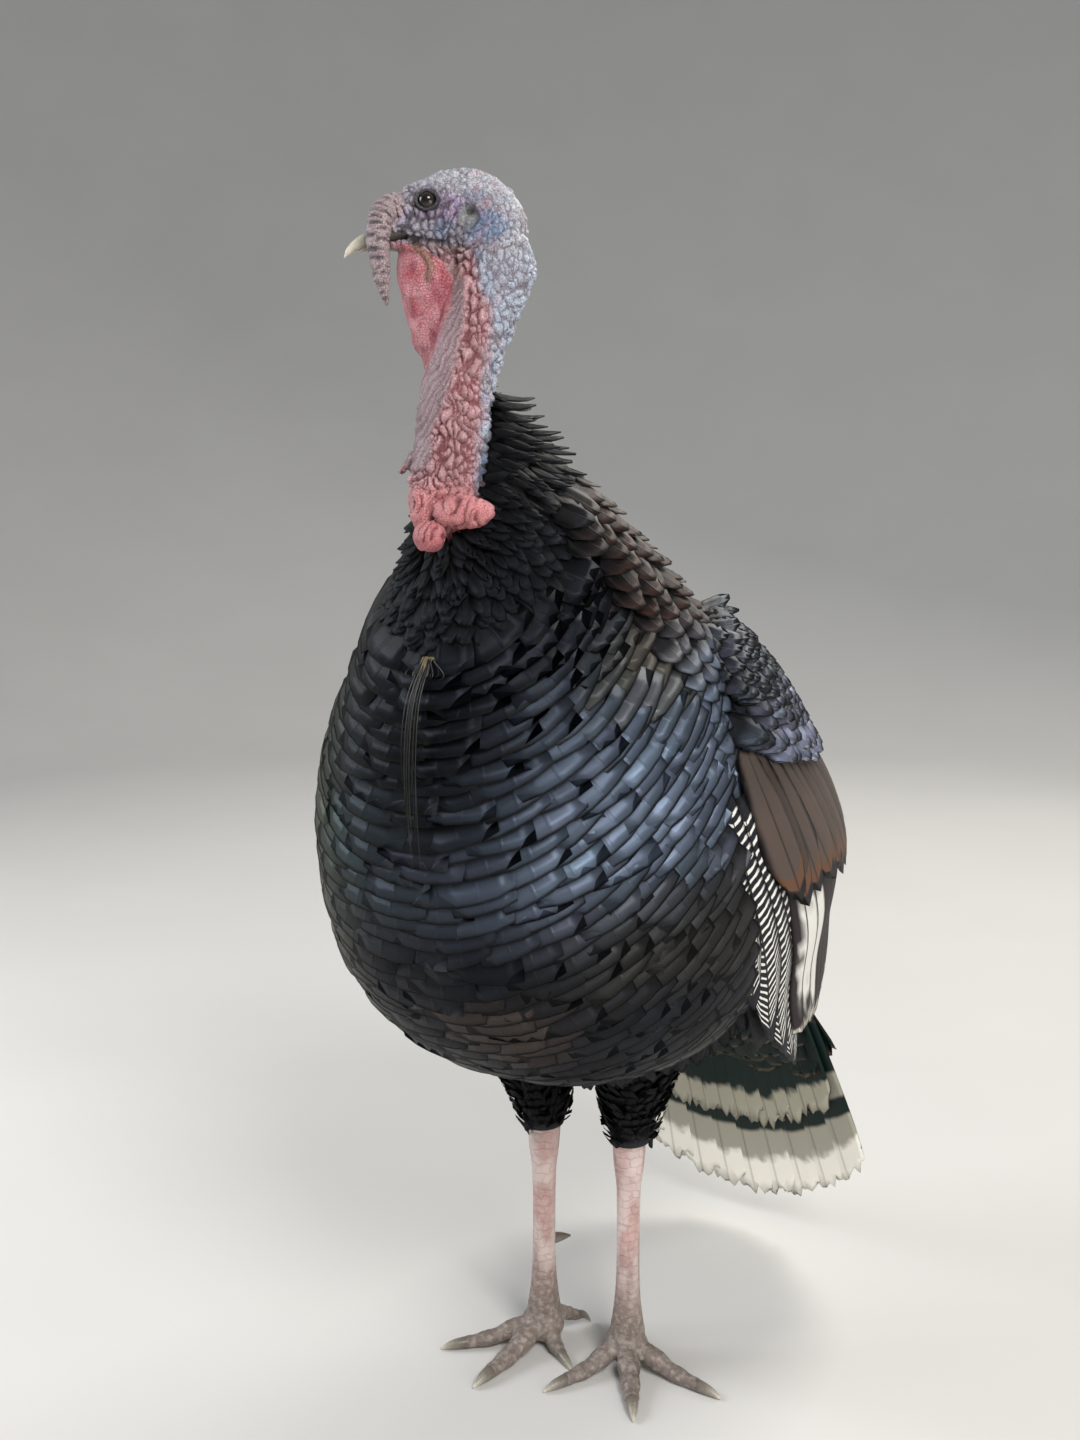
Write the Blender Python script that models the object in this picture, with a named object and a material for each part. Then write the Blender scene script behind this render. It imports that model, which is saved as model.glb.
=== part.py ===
"""A life-size turkey tom standing upright, as a museum shows it.

Metres, +Z up. The bird faces -Y, its left side is +X, and it stands on Z = 0 with the origin under the
middle of its bounding box. The head is turned to the bird's right. Each named part of the body is one
closed solid, and neighbours keep a thin cut between them.
"""

import math

import bmesh
import bpy
import numpy as np
from mathutils import Matrix, Vector

# ---------------------------------------------------------------- driving dimensions, in metres and degrees
GAP = 0.0004  # the thin cut between neighbouring parts
TRUNK_SIDES = 26
LIMB_SIDES = 12
SQUARENESS = 2.25  # superellipse exponent of the trunk's sections

HOCK_HEIGHT = 0.200
ANKLE_HEIGHT = 0.034
FOOT_HALF_SPACING = 0.038
SHANK_RADIUS = 0.0105
FOOT_STEP = {"left": 0.006, "right": -0.006}  # how far each foot stands back
CLAW_LENGTH = 0.021
TOES = {  # name, angle outwards from straight ahead, reach to the claw, thickness
    "left": (
        ("inner", -24.0, 0.064, 0.0078),
        ("middle", 33.0, 0.062, 0.0088),
        ("outer", 86.0, 0.070, 0.0080),
    ),
    "right": (
        ("inner", -58.0, 0.034, 0.0074),
        ("middle", 6.0, 0.072, 0.0088),
        ("outer", 45.0, 0.070, 0.0080),
    ),
}
HIND_TOE_TURN = {"left": 138.0, "right": 150.0}  # measured inwards from straight ahead
SOLE_SINK = 0.0009  # how far the round toes are cut off to give them flats

HEAD_CENTRE = Vector((-0.0140, -0.1555, 0.911))
HEAD_YAW = -50.0  # degrees about +Z, towards the bird's right
EYE_RADIUS = 0.0068
EYE_PLACE = Vector((0.0128, -0.018, 0.0065))  # left eye, in the head's own frame

WING_BEND = 1.4  # inward bend of the folded wing, per metre along its chord

TAIL_ROOT = Vector((0.012, 0.150, 0.372))
TAIL_TIP = Vector((0.026, 0.280, 0.033))
TAIL_HALF_WIDTH_ROOT = 0.062
TAIL_HALF_WIDTH_TIP = 0.130
TAIL_ARCH = 0.012  # how far the outer feathers lie below the middle ones
TAIL_THICKNESS = 0.005
TAIL_FEATHERS = 18
TAIL_SCALLOP = 0.006
UPPER_COVERT_DEPTH = 0.045
UPPER_COVERT_END = 0.60  # share of the tail that the coverts reach
UNDER_COVERT_DEPTH = 0.055
UNDER_COVERT_END = 0.50

# Trunk sections from the neck to the vent. Each joins a point of the breast and belly line to a point of
# the back line: breast y, breast z, back y, back z, half width.
TRUNK_SECTIONS = (
    (-0.203, 0.690, -0.132, 0.793, 0.035),
    (-0.210, 0.655, -0.068, 0.739, 0.060),
    (-0.225, 0.603, -0.008, 0.676, 0.097),
    (-0.239, 0.530, 0.057, 0.634, 0.134),
    (-0.237, 0.446, 0.113, 0.573, 0.155),
    (-0.204, 0.362, 0.155, 0.511, 0.162),
    (-0.137, 0.303, 0.184, 0.454, 0.153),
    (-0.045, 0.278, 0.203, 0.408, 0.130),
    (0.040, 0.277, 0.210, 0.372, 0.100),
    (0.105, 0.288, 0.204, 0.344, 0.066),
    (0.140, 0.300, 0.190, 0.330, 0.034),
)
NECK_BASE_END = 1.0  # the ruff is the stretch of the sections above this one

# Neck sections from the ruff to the skull: x, y, z, half depth, half width.
NECK_SECTIONS = (
    (-0.010, -0.181, 0.708, 0.0275, 0.0265),
    (-0.010, -0.180, 0.724, 0.0268, 0.0258),
    (-0.008, -0.172, 0.762, 0.0255, 0.0245),
    (-0.004, -0.166, 0.800, 0.0250, 0.0240),
    (0.003, -0.150, 0.845, 0.0265, 0.0240),
    (0.007, -0.140, 0.877, 0.0290, 0.0245),
    (0.002, -0.144, 0.905, 0.0260, 0.0220),
)


# ---------------------------------------------------------------- scene and mesh helpers
def clear_scene():
    for obj in list(bpy.data.objects):
        bpy.data.objects.remove(obj)


def collection(name):
    made = bpy.data.collections.new(name)
    bpy.context.scene.collection.children.link(made)
    return made


def material(name, colour, roughness, metallic=0.0):
    made = bpy.data.materials.new(name)
    made.use_nodes = True
    shader = made.node_tree.nodes["Principled BSDF"]
    shader.inputs["Base Color"].default_value = (*colour, 1.0)
    shader.inputs["Roughness"].default_value = roughness
    shader.inputs["Metallic"].default_value = metallic
    return made


def add_object(name, mesh, mat=None, group=None):
    obj = bpy.data.objects.new(name, mesh)
    (group or BIRD).objects.link(obj)
    if mat:
        mesh.materials.clear()
        mesh.materials.append(mat)
        mesh.shade_smooth()
    return obj


def mesh_from_bmesh(name, bm):
    bmesh.ops.recalc_face_normals(bm, faces=bm.faces)
    bmesh.ops.triangulate(bm, faces=[f for f in bm.faces if len(f.verts) == 4])
    mesh = bpy.data.meshes.new(name)
    bm.to_mesh(mesh)
    bm.free()
    return mesh


def spline_rows(rows, count):
    """The rows read at count even steps along a Catmull-Rom curve through them."""
    rows = np.array(rows, float)
    padded = np.vstack([2 * rows[0] - rows[1], rows, 2 * rows[-1] - rows[-2]])
    along = np.linspace(0, len(rows) - 1, count)
    first = np.minimum(along.astype(int), len(rows) - 2)
    t = (along - first)[:, None]
    a, b, c, d = (padded[first + k] for k in range(4))
    return 0.5 * (2 * b + (c - a) * t + (2 * a - 5 * b + 4 * c - d) * t**2 + (3 * (b - c) + d - a) * t**3)


def ring(centre, across, along, half_across, half_along, sides, power=2.0):
    """A closed superellipse around centre in the plane of the two directions."""
    turn = np.linspace(0, 2 * math.pi, sides, endpoint=False)
    c, s = np.cos(turn), np.sin(turn)
    x = half_across * np.sign(c) * np.abs(c) ** (2 / power)
    y = half_along * np.sign(s) * np.abs(s) ** (2 / power)
    return np.array(centre) + np.outer(x, across) + np.outer(y, along)


def loft(name, rings, mat=None, group=None):
    """One closed skin through the rings, with a flat cap at each end."""
    bm = bmesh.new()
    loops = [[bm.verts.new(p) for p in points] for points in rings]
    sides = len(loops[0])
    for low, high in zip(loops, loops[1:]):
        for i in range(sides):
            j = (i + 1) % sides
            bm.faces.new((low[i], low[j], high[j], high[i]))
    bm.faces.new(loops[0])
    bm.faces.new(loops[-1])
    return add_object(name, mesh_from_bmesh(name, bm), mat, group)


def slab(name, lower, upper, mat=None):
    """A closed slab between two grids of the same size, joined round their borders."""
    rows, columns = len(lower), len(lower[0])
    bm = bmesh.new()
    sheets = [[[bm.verts.new(p) for p in row] for row in grid] for grid in (lower, upper)]
    for sheet in sheets:
        for i in range(rows - 1):
            for j in range(columns - 1):
                bm.faces.new((sheet[i][j], sheet[i][j + 1], sheet[i + 1][j + 1], sheet[i + 1][j]))
    border = [(0, j) for j in range(columns)] + [(i, columns - 1) for i in range(1, rows)]
    border += [(rows - 1, j) for j in range(columns - 2, -1, -1)] + [(i, 0) for i in range(rows - 2, 0, -1)]
    for (i, j), (k, m) in zip(border, border[1:] + border[:1]):
        bm.faces.new((sheets[0][i][j], sheets[0][k][m], sheets[1][k][m], sheets[1][i][j]))
    return add_object(name, mesh_from_bmesh(name, bm), mat)


def tapered_tube(name, points, radii, mat=None, group=None, resolution=2, steps=1):
    """A round tube along the points with its own radius at each: a bevelled curve made a mesh."""
    rows = np.hstack([np.array(points, float), np.array(radii, float)[:, None]])
    rows = spline_rows(rows, steps * (len(rows) - 1) + 1)
    curve = bpy.data.curves.new(name, "CURVE")
    curve.dimensions = "3D"
    curve.bevel_depth = 1.0
    curve.bevel_resolution = resolution
    curve.use_fill_caps = True
    line = curve.splines.new("POLY")
    line.points.add(len(rows) - 1)
    for point, (x, y, z, radius) in zip(line.points, rows):
        point.co = (x, y, z, 1)
        point.radius = radius
    source = bpy.data.objects.new(name + "_curve", curve)
    CUTTERS.objects.link(source)
    mesh = evaluated_mesh(source)
    bpy.data.objects.remove(source)
    bm = bmesh.new()
    bm.from_mesh(mesh)
    bmesh.ops.remove_doubles(bm, verts=bm.verts, dist=1e-6)
    return add_object(name, mesh_from_bmesh(name, bm), mat, group)


def ellipsoid(name, centre, radii, mat=None, turn=0.0, segments=12, rings=8, group=None):
    bm = bmesh.new()
    bmesh.ops.create_uvsphere(bm, u_segments=segments, v_segments=rings, radius=1.0)
    place = Matrix.Translation(centre) @ Matrix.Rotation(turn, 4, "Z") @ Matrix.Diagonal((*radii, 1))
    bmesh.ops.transform(bm, matrix=place, verts=bm.verts)
    return add_object(name, mesh_from_bmesh(name, bm), mat, group)


def evaluated_mesh(obj):
    bpy.context.view_layer.update()
    return bpy.data.meshes.new_from_object(obj.evaluated_get(bpy.context.evaluated_depsgraph_get()))


def hide_as_cutter(obj):
    obj.hide_render = True
    obj.display_type = "WIRE"


def boolean(target, tool, operation):
    modifier = target.modifiers.new(f"{operation.lower()} {tool.name}", "BOOLEAN")
    modifier.operation = operation
    modifier.solver = "EXACT"
    modifier.object = tool


def carve(target, *neighbours):
    """Cuts the target back from each neighbour's uncut shape, leaving the thin cut between them."""
    for neighbour in neighbours:
        mesh = neighbour.data.copy()
        bm = bmesh.new()
        bm.from_mesh(mesh)
        bm.normal_update()
        for vert in bm.verts:
            vert.co += vert.normal * GAP
        bm.to_mesh(mesh)
        bm.free()
        tool = add_object(f"cut_{target.name}_{neighbour.name}", mesh, group=CUTTERS)
        tool.matrix_world = neighbour.matrix_world
        hide_as_cutter(tool)
        boolean(target, tool, "DIFFERENCE")


def to_head(point):
    """A point of the head's own frame, where the bill points to -Y, in the bird's frame."""
    return HEAD_CENTRE + Matrix.Rotation(math.radians(HEAD_YAW), 3, "Z") @ Vector(point)


# ---------------------------------------------------------------- trunk, ruff and neck
def trunk_rings(first, last, count):
    """Rings of the trunk's sections between two places counted in sections."""
    steps = (len(TRUNK_SECTIONS) - 1) * 12
    fine = spline_rows(TRUNK_SECTIONS, steps + 1)
    places = np.linspace(first, last, count) * 12
    columns = [np.interp(places, np.arange(steps + 1), fine[:, k]) for k in range(5)]
    rings = []
    for breast_y, breast_z, back_y, back_z, half_width in zip(*columns):
        breast, back = Vector((0, breast_y, breast_z)), Vector((0, back_y, back_z))
        middle = (breast + back) / 2
        half = (back - breast).length / 2
        upwards = (back - breast).normalized()
        rings.append(ring(middle, (1, 0, 0), upwards, half_width, half, TRUNK_SIDES, SQUARENESS))
    return rings


def make_trunk():
    section_step = GAP / 0.06
    trunk = loft("trunk", trunk_rings(NECK_BASE_END, len(TRUNK_SECTIONS) - 1, 16), FEATHER)
    ruff = loft("neck_base", trunk_rings(0, NECK_BASE_END - section_step, 4), FEATHER)
    return trunk, ruff


def make_neck():
    rows = spline_rows(NECK_SECTIONS, 11)
    turns = np.radians(np.linspace(0, HEAD_YAW, len(rows)))
    rings = []
    for (x, y, z, half_depth, half_width), turn in zip(rows, turns):
        side = (math.cos(turn), math.sin(turn), 0)
        forward = (-math.sin(turn), math.cos(turn), 0)
        rings.append(ring((x, y, z), side, forward, half_width, half_depth, 16))
    return loft("neck", rings, SKIN)


# ---------------------------------------------------------------- head
def head_loft(name, stations, sides, mat):
    """A loft towards the bill through y, centre z, half width, half height, in the head's own frame."""
    rings = []
    for y, z, half_width, half_height in stations:
        points = ring((0, y, z), (1, 0, 0), (0, 0, 1), half_width, half_height, sides)
        rings.append([to_head(p) for p in points])
    return loft(name, rings, mat)


def make_head():
    skull = (
        (0.0475, -0.007, 0.0060, 0.0070),
        (0.0385, -0.003, 0.0160, 0.0203),
        (0.016, 0.0015, 0.0212, 0.0280),
        (-0.005, 0.0020, 0.0200, 0.0266),
        (-0.021, -0.003, 0.0165, 0.0205),
        (-0.033, -0.008, 0.0120, 0.0150),
        (-0.040, -0.011, 0.0070, 0.0090),
    )
    head = head_loft("head", spline_rows(skull, 11), 18, SKIN)
    for side, sign in (("left", 1), ("right", -1)):
        place = to_head((sign * EYE_PLACE.x, EYE_PLACE.y, EYE_PLACE.z))
        eye = ellipsoid(f"eye_{side}", place, (EYE_RADIUS,) * 3, EYE, segments=12, rings=7)
        carve(head, eye)
    return head


def make_bill(head):
    upper_stations = (
        (-0.028, -0.009, 0.0100, 0.0088),
        (-0.040, -0.0105, 0.0088, 0.0075),
        (-0.053, -0.0140, 0.0066, 0.0058),
        (-0.065, -0.0195, 0.0040, 0.0042),
        (-0.0715, -0.0245, 0.0020, 0.0028),
        (-0.0735, -0.0280, 0.0007, 0.0010),
    )
    lower_stations = (
        (-0.026, -0.0215, 0.0085, 0.0040),
        (-0.042, -0.0222, 0.0070, 0.0036),
        (-0.056, -0.0245, 0.0048, 0.0028),
        (-0.0655, -0.0275, 0.0012, 0.0010),
    )
    upper = head_loft("bill_upper", spline_rows(upper_stations, 9), 12, HORN)
    lower = head_loft("bill_lower", spline_rows(lower_stations, 5), 10, HORN)
    carve(upper, head)
    carve(lower, head, upper)
    return upper, lower


def make_snood(head, bill):
    points = (
        (0.000, -0.0270, 0.0090),
        (0.004, -0.0395, 0.0110),
        (0.0125, -0.0480, 0.0020),
        (0.0165, -0.0510, -0.0160),
        (0.0160, -0.0495, -0.0380),
        (0.0140, -0.0455, -0.0620),
    )
    radii = (0.0062, 0.0082, 0.0080, 0.0070, 0.0056, 0.0016)
    snood = tapered_tube("snood", [to_head(p) for p in points], radii, SKIN, steps=3)
    carve(snood, head, bill)
    return snood


def make_wattle(neck, head, bill_lower):
    """The throat's hanging fold: z, front y, back y, half thickness, in the head's own frame."""
    stations = (
        (-0.016, -0.036, 0.012, 0.0110),
        (-0.032, -0.039, 0.012, 0.0135),
        (-0.056, -0.035, 0.012, 0.0125),
        (-0.080, -0.028, 0.012, 0.0100),
        (-0.102, -0.021, 0.010, 0.0070),
        (-0.116, -0.014, 0.008, 0.0040),
    )
    rings = []
    for z, front, back, half_thickness in spline_rows(stations, 8):
        middle = (0, (front + back) / 2, z)
        points = ring(middle, (1, 0, 0), (0, 1, 0), half_thickness, (back - front) / 2, 14)
        rings.append([to_head(p) for p in points])
    wattle = loft("wattle", rings, FLESH)
    carve(wattle, neck, head, bill_lower)


def make_caruncles(neck, ruff, trunk):
    lobes = (
        ("caruncle_left", (0.0212, -0.1955, 0.7145), (0.0200, 0.0125, 0.0125), 38.0),
        ("caruncle_front", (0.0050, -0.2132, 0.697), (0.0125, 0.0120, 0.0135), 0.0),
        ("caruncle_right", (-0.0150, -0.2080, 0.720), (0.0120, 0.0100, 0.0135), -25.0),
    )
    made = []
    for name, centre, radii, turn in lobes:
        lobe = ellipsoid(name, centre, radii, FLESH, math.radians(turn))
        carve(lobe, neck, *made)
        made.append(lobe)
    for body in (ruff, trunk):
        carve(body, *made)


def make_beard(trunk):
    """The bristle tuft that hangs down the middle of the breast."""
    points = (
        (0.010, -0.222, 0.622),
        (0.011, -0.2395, 0.596),
        (0.013, -0.2485, 0.560),
        (0.016, -0.2515, 0.520),
        (0.020, -0.2500, 0.480),
        (0.023, -0.2450, 0.452),
    )
    radii = (0.0060, 0.0066, 0.0075, 0.0080, 0.0065, 0.0020)
    beard = tapered_tube("beard", points, radii, FEATHER, steps=2, resolution=1)
    carve(trunk, beard)


# ---------------------------------------------------------------- wings
def wing_rings(stations, sign, count):
    """Rings across the folded wing: x, y, z, half chord, half thickness.

    The chord runs back and up, and both its ends bend in towards the body.
    """
    chord = Vector((-0.10 * sign, 0.90, 0.42)).normalized()
    outwards = Vector((sign, 0.20, 0)).normalized()
    rings = []
    for x, y, z, half_chord, half_thickness in spline_rows(stations, count):
        points = ring((sign * x, y, z), outwards, chord, half_thickness, half_chord, LIMB_SIDES + 4, 2.4)
        reach = (points - np.array((sign * x, y, z))) @ np.array(chord)
        rings.append(points - np.outer(WING_BEND * reach**2, outwards))
    return rings


def make_wing(side, sign, trunk):
    """The coverts over the arm, and the flight feathers that come out from under them."""
    arm_stations = (
        (0.094, -0.024, 0.645, 0.012, 0.010),
        (0.112, -0.020, 0.612, 0.044, 0.023),
        (0.129, -0.004, 0.561, 0.080, 0.028),
        (0.140, 0.030, 0.506, 0.101, 0.029),
        (0.147, 0.071, 0.450, 0.117, 0.026),
        (0.147, 0.103, 0.405, 0.124, 0.021),
    )
    flight_stations = (
        (0.146, 0.104, 0.4042, 0.120, 0.0140),
        (0.143, 0.120, 0.355, 0.114, 0.0125),
        (0.138, 0.134, 0.305, 0.093, 0.0100),
        (0.131, 0.145, 0.262, 0.056, 0.0070),
        (0.125, 0.152, 0.236, 0.014, 0.0040),
    )
    arm = loft(f"wing_{side}", wing_rings(arm_stations, sign, 10), FEATHER)
    flight = loft(f"wing_{side}_flight", wing_rings(flight_stations, sign, 7), BARRED)
    carve(flight, arm)
    carve(trunk, arm, flight)
    return arm, flight


# ---------------------------------------------------------------- tail
def tail_frame():
    along = TAIL_TIP - TAIL_ROOT
    length = along.length
    along.normalize()
    side = Vector((1, 0, 0)) - along * along.x
    side.normalize()
    return along, side, side.cross(along), length


def tail_point(s, v, height, widen=1.0):
    """A point s along the tail from its root, v from -1 to 1 across, and height above its middle sheet."""
    along, side, dorsal, length = tail_frame()
    spread = TAIL_HALF_WIDTH_TIP - TAIL_HALF_WIDTH_ROOT
    half_width = TAIL_HALF_WIDTH_ROOT + spread * max(s, 0) ** 0.65
    feather = math.cos(v * TAIL_FEATHERS / 2 * math.pi * 0.5) ** 2
    scallop = TAIL_SCALLOP * (1 - feather) * max(0.0, s - 0.85) / 0.15
    reach = length * s * (1 - 0.14 * v * v) - scallop
    droop = -TAIL_ARCH * v * v * (0.35 + 0.65 * s)
    return TAIL_ROOT + along * reach + side * (half_width * widen * v) + dorsal * (height + droop)


def tail_slab(name, s_range, rows, columns, bottom, top, mat, widen=1.0):
    """A slab on the tail between two heights, each a function of s and v."""
    s_values = np.linspace(*s_range, rows)
    v_values = np.linspace(-1, 1, columns)
    grids = [
        [[tail_point(s, v, height(s, v), widen) for v in v_values] for s in s_values]
        for height in (bottom, top)
    ]
    return slab(name, *grids, mat)


def make_tail(trunk):
    """The fan, and a cushion of coverts on each face of it."""
    half = TAIL_THICKNESS / 2
    edge = 0.0006

    def face(s, v):
        return half * (1 - 0.6 * s)

    def back_face(s, v):
        return -face(s, v)

    def above(s, v):
        return half + GAP

    def below(s, v):
        return -above(s, v)

    def pad(s, v, depth, end):
        """A cushion's height over the sheet, thickest at the root and thin at its rim."""
        swell = max(0.0, 1 - s / end) ** 0.7 * max(0.0, 1 - v * v) ** 0.5
        return half + GAP + edge + depth * swell

    def upper_pad(s, v):
        return pad(s, v, UPPER_COVERT_DEPTH, UPPER_COVERT_END)

    def under_pad(s, v):
        return -pad(s, v, UNDER_COVERT_DEPTH, UNDER_COVERT_END)

    fan = tail_slab("tail", (0.0, 1.0), 4, 2 * TAIL_FEATHERS + 1, back_face, face, TAIL)
    upper = tail_slab("tail_coverts_upper", (0.0, UPPER_COVERT_END), 6, 11, above, upper_pad, TAIL, 0.98)
    lower = tail_slab("tail_coverts_under", (0.0, UNDER_COVERT_END), 6, 11, below, under_pad, TAIL, 0.9)
    for piece in (fan, upper, lower):
        carve(piece, trunk)


# ---------------------------------------------------------------- legs
def make_leg(side, sign, trunk):
    x, y = sign * FOOT_HALF_SPACING, FOOT_STEP[side]
    thigh_stations = (
        (1.75, -0.020, 0.360, 0.050, 0.062),
        (1.50, -0.012, 0.305, 0.036, 0.048),
        (1.20, -0.004, 0.255, 0.026, 0.034),
        (1.06, 0.000, 0.222, 0.020, 0.024),
        (1.02, 0.001, HOCK_HEIGHT, 0.0160, 0.0185),
    )
    rings = [
        ring((x * k, y + dy, z), (1, 0, 0), (0, 1, 0), wide, deep, LIMB_SIDES)
        for k, dy, z, wide, deep in spline_rows(thigh_stations, 9)
    ]
    thigh = loft(f"thigh_{side}", rings, FEATHER)
    carve(thigh, trunk)

    shank_stations = (
        (HOCK_HEIGHT - GAP, 1.34, 1.55),
        (0.180, 1.16, 1.32),
        (0.155, 0.92, 1.05),
        (0.100, 0.87, 1.00),
        (0.060, 0.98, 1.12),
        (ANKLE_HEIGHT + GAP, 1.42, 1.42),
    )
    rings = [
        ring((x, y, z), (1, 0, 0), (0, 1, 0), wide * SHANK_RADIUS, deep * SHANK_RADIUS, LIMB_SIDES)
        for z, wide, deep in spline_rows(shank_stations, 9)
    ]
    shank = loft(f"shank_{side}", rings, SCALE)
    spur_root = Vector((x - sign * 0.004, y + 0.006, 0.092))
    spur_tip = Vector((x - sign * 0.010, y + 0.026, 0.087))
    spur_line = [spur_root, (spur_root + spur_tip) / 2, spur_tip]
    spur = tapered_tube(f"spur_{side}", spur_line, (0.0050, 0.0036, 0.0008), HORN)
    carve(spur, shank)
    make_foot(side, sign, x, y)


def make_foot(side, sign, x, y):
    """The ball of the foot, three toes forward and the raised hind toe, all cut level with the floor."""
    floor = ground_cutter(f"floor_{side}", x, y)
    ball = (0.0185, 0.0175, 0.0175)
    foot = ellipsoid(f"foot_{side}", (x, y - 0.002, 0.0165), ball, SCALE, segments=14, rings=8)
    ankle_points = [(x, y, 0.012), (x, y, 0.024), (x, y, ANKLE_HEIGHT)]
    thickness = (0.0150, 0.0150, 0.0145)
    ankle = tapered_tube(f"ankle_{side}", ankle_points, thickness, group=CUTTERS, resolution=2)
    hide_as_cutter(ankle)
    boolean(foot, ankle, "UNION")
    boolean(foot, floor, "DIFFERENCE")
    toes = []
    for name, angle, reach, radius in TOES[side]:
        heading = sign * math.radians(angle)
        way = Vector((math.sin(heading), -math.cos(heading), 0))
        low = radius * 0.80 - SOLE_SINK
        shape = (
            (0.000, 0.0190, radius * 1.10),
            (0.34 * reach, 0.0135, radius * 1.06),
            (0.58 * reach, low + 0.0024, radius * 0.94),
            (0.80 * reach, low, radius * 0.82),
            (reach, low - 0.0006, radius * 0.66),
        )
        points = [Vector((x, y, z)) + way * out for out, z, _ in shape]
        toe = tapered_tube(f"toe_{side}_{name}", points, [r for _, _, r in shape], SCALE, resolution=2)
        boolean(toe, floor, "DIFFERENCE")
        carve(toe, foot, ankle, *toes)
        toes.append(toe)
        claw = make_claw(f"claw_{side}_{name}", points[-1] + way * GAP, way, radius * 0.60, CLAW_LENGTH)
        carve(claw, toe)
    heading = -sign * math.radians(HIND_TOE_TURN[side])
    way = Vector((math.sin(heading), -math.cos(heading), 0))
    shape = ((0.008, 0.0235, 0.0072), (0.021, 0.0180, 0.0064), (0.032, 0.0125, 0.0050))
    points = [Vector((x, y, z)) + way * out for out, z, _ in shape]
    toe = tapered_tube(f"toe_{side}_hind", points, [r for _, _, r in shape], SCALE, resolution=2)
    carve(toe, foot, ankle)
    slope = (points[-1] - points[-2]).normalized()
    claw = make_claw(f"claw_{side}_hind", points[-1] + slope * GAP, slope, 0.0042, 0.014)
    carve(claw, toe)


def ground_cutter(name, x, y):
    bm = bmesh.new()
    bmesh.ops.create_cube(bm, size=0.4, matrix=Matrix.Translation((x, y, -0.2)))
    floor = add_object(name, mesh_from_bmesh(name, bm), group=CUTTERS)
    hide_as_cutter(floor)
    return floor


def make_claw(name, root, way, radius, length):
    """A horn cone from the toe's end, bending down to the floor at its tip."""
    down = Vector((0, 0, -1))
    drop = max(0.0, root.z + way.z * length - 0.0016)
    shape = ((0.0, 0.0, 1.0), (0.45, 0.12, 0.80), (0.80, 0.55, 0.45), (1.0, 1.0, 0.14))
    points = [root + way * (length * out) + down * (drop * fall) for out, fall, _ in shape]
    return tapered_tube(name, points, [radius * r for _, _, r in shape], HORN, resolution=1)


# ---------------------------------------------------------------- build
def settle(group):
    """Moves everything so that the origin is under the middle of the bird's box, at its lowest flat."""
    corners = []
    for obj in group.objects:
        mesh = evaluated_mesh(obj)
        places = [v.co for v in mesh.vertices]
        corners.append(np.min(places, axis=0))
        corners.append(np.max(places, axis=0))
        bpy.data.meshes.remove(mesh)
    low, high = np.min(corners, axis=0), np.max(corners, axis=0)
    shift = Vector((-(low[0] + high[0]) / 2, -(low[1] + high[1]) / 2, -low[2]))
    for obj in list(BIRD.objects) + list(CUTTERS.objects):
        obj.location += shift


clear_scene()
BIRD = collection("turkey")
CUTTERS = collection("cutters")
FEATHER = material("feather", (0.020, 0.024, 0.028), 0.38, 0.3)
BARRED = material("barred_feather", (0.30, 0.27, 0.24), 0.6)
TAIL = material("tail_feather", (0.12, 0.13, 0.11), 0.5)
SKIN = material("head_skin", (0.48, 0.47, 0.55), 0.5)
FLESH = material("red_flesh", (0.62, 0.20, 0.19), 0.42)
SCALE = material("leg_scale", (0.50, 0.36, 0.32), 0.55)
HORN = material("horn", (0.42, 0.38, 0.30), 0.4)
EYE = material("eye", (0.03, 0.018, 0.012), 0.06)

trunk_solid, ruff_solid = make_trunk()
neck_solid = make_neck()
head_solid = make_head()
carve(neck_solid, head_solid)
carve(ruff_solid, neck_solid)
upper_bill, lower_bill = make_bill(head_solid)
make_snood(head_solid, upper_bill)
make_wattle(neck_solid, head_solid, lower_bill)
make_caruncles(neck_solid, ruff_solid, trunk_solid)
make_beard(trunk_solid)
for side_name, side_sign in (("left", 1), ("right", -1)):
    make_wing(side_name, side_sign, trunk_solid)
    make_leg(side_name, side_sign, trunk_solid)
make_tail(trunk_solid)
settle(BIRD)
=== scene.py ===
"""A standing turkey tom dressed with skin, feathers, horn and eyes over its solids.

Every shape is a surface worked out with numpy. The body, wings and tail are surfaces of two parameters, and
each feather is a small closed sheet that follows such a surface. Lengths are metres, +Z is up, the bird faces
-Y and its left side is +X.
"""

import math

import bpy
import numpy as np
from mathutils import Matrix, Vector


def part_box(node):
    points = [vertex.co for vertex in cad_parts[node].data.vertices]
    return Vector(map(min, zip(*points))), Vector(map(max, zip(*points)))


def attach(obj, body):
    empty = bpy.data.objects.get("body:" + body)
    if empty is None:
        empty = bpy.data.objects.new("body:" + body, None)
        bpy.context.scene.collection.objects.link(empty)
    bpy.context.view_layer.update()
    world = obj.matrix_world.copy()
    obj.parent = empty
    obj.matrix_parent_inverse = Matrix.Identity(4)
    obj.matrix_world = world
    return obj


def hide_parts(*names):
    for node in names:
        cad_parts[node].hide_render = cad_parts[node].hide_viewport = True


bl_info = {
    "name": "Turkey tom",
    "version": (1, 0, 0),
    "blender": (4, 5, 0),
    "location": "3D View > Sidebar > Turkey",
    "description": "Builds a life-size turkey tom with skin, feathers, horn and eyes",
    "category": "Add Mesh",
}

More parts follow.
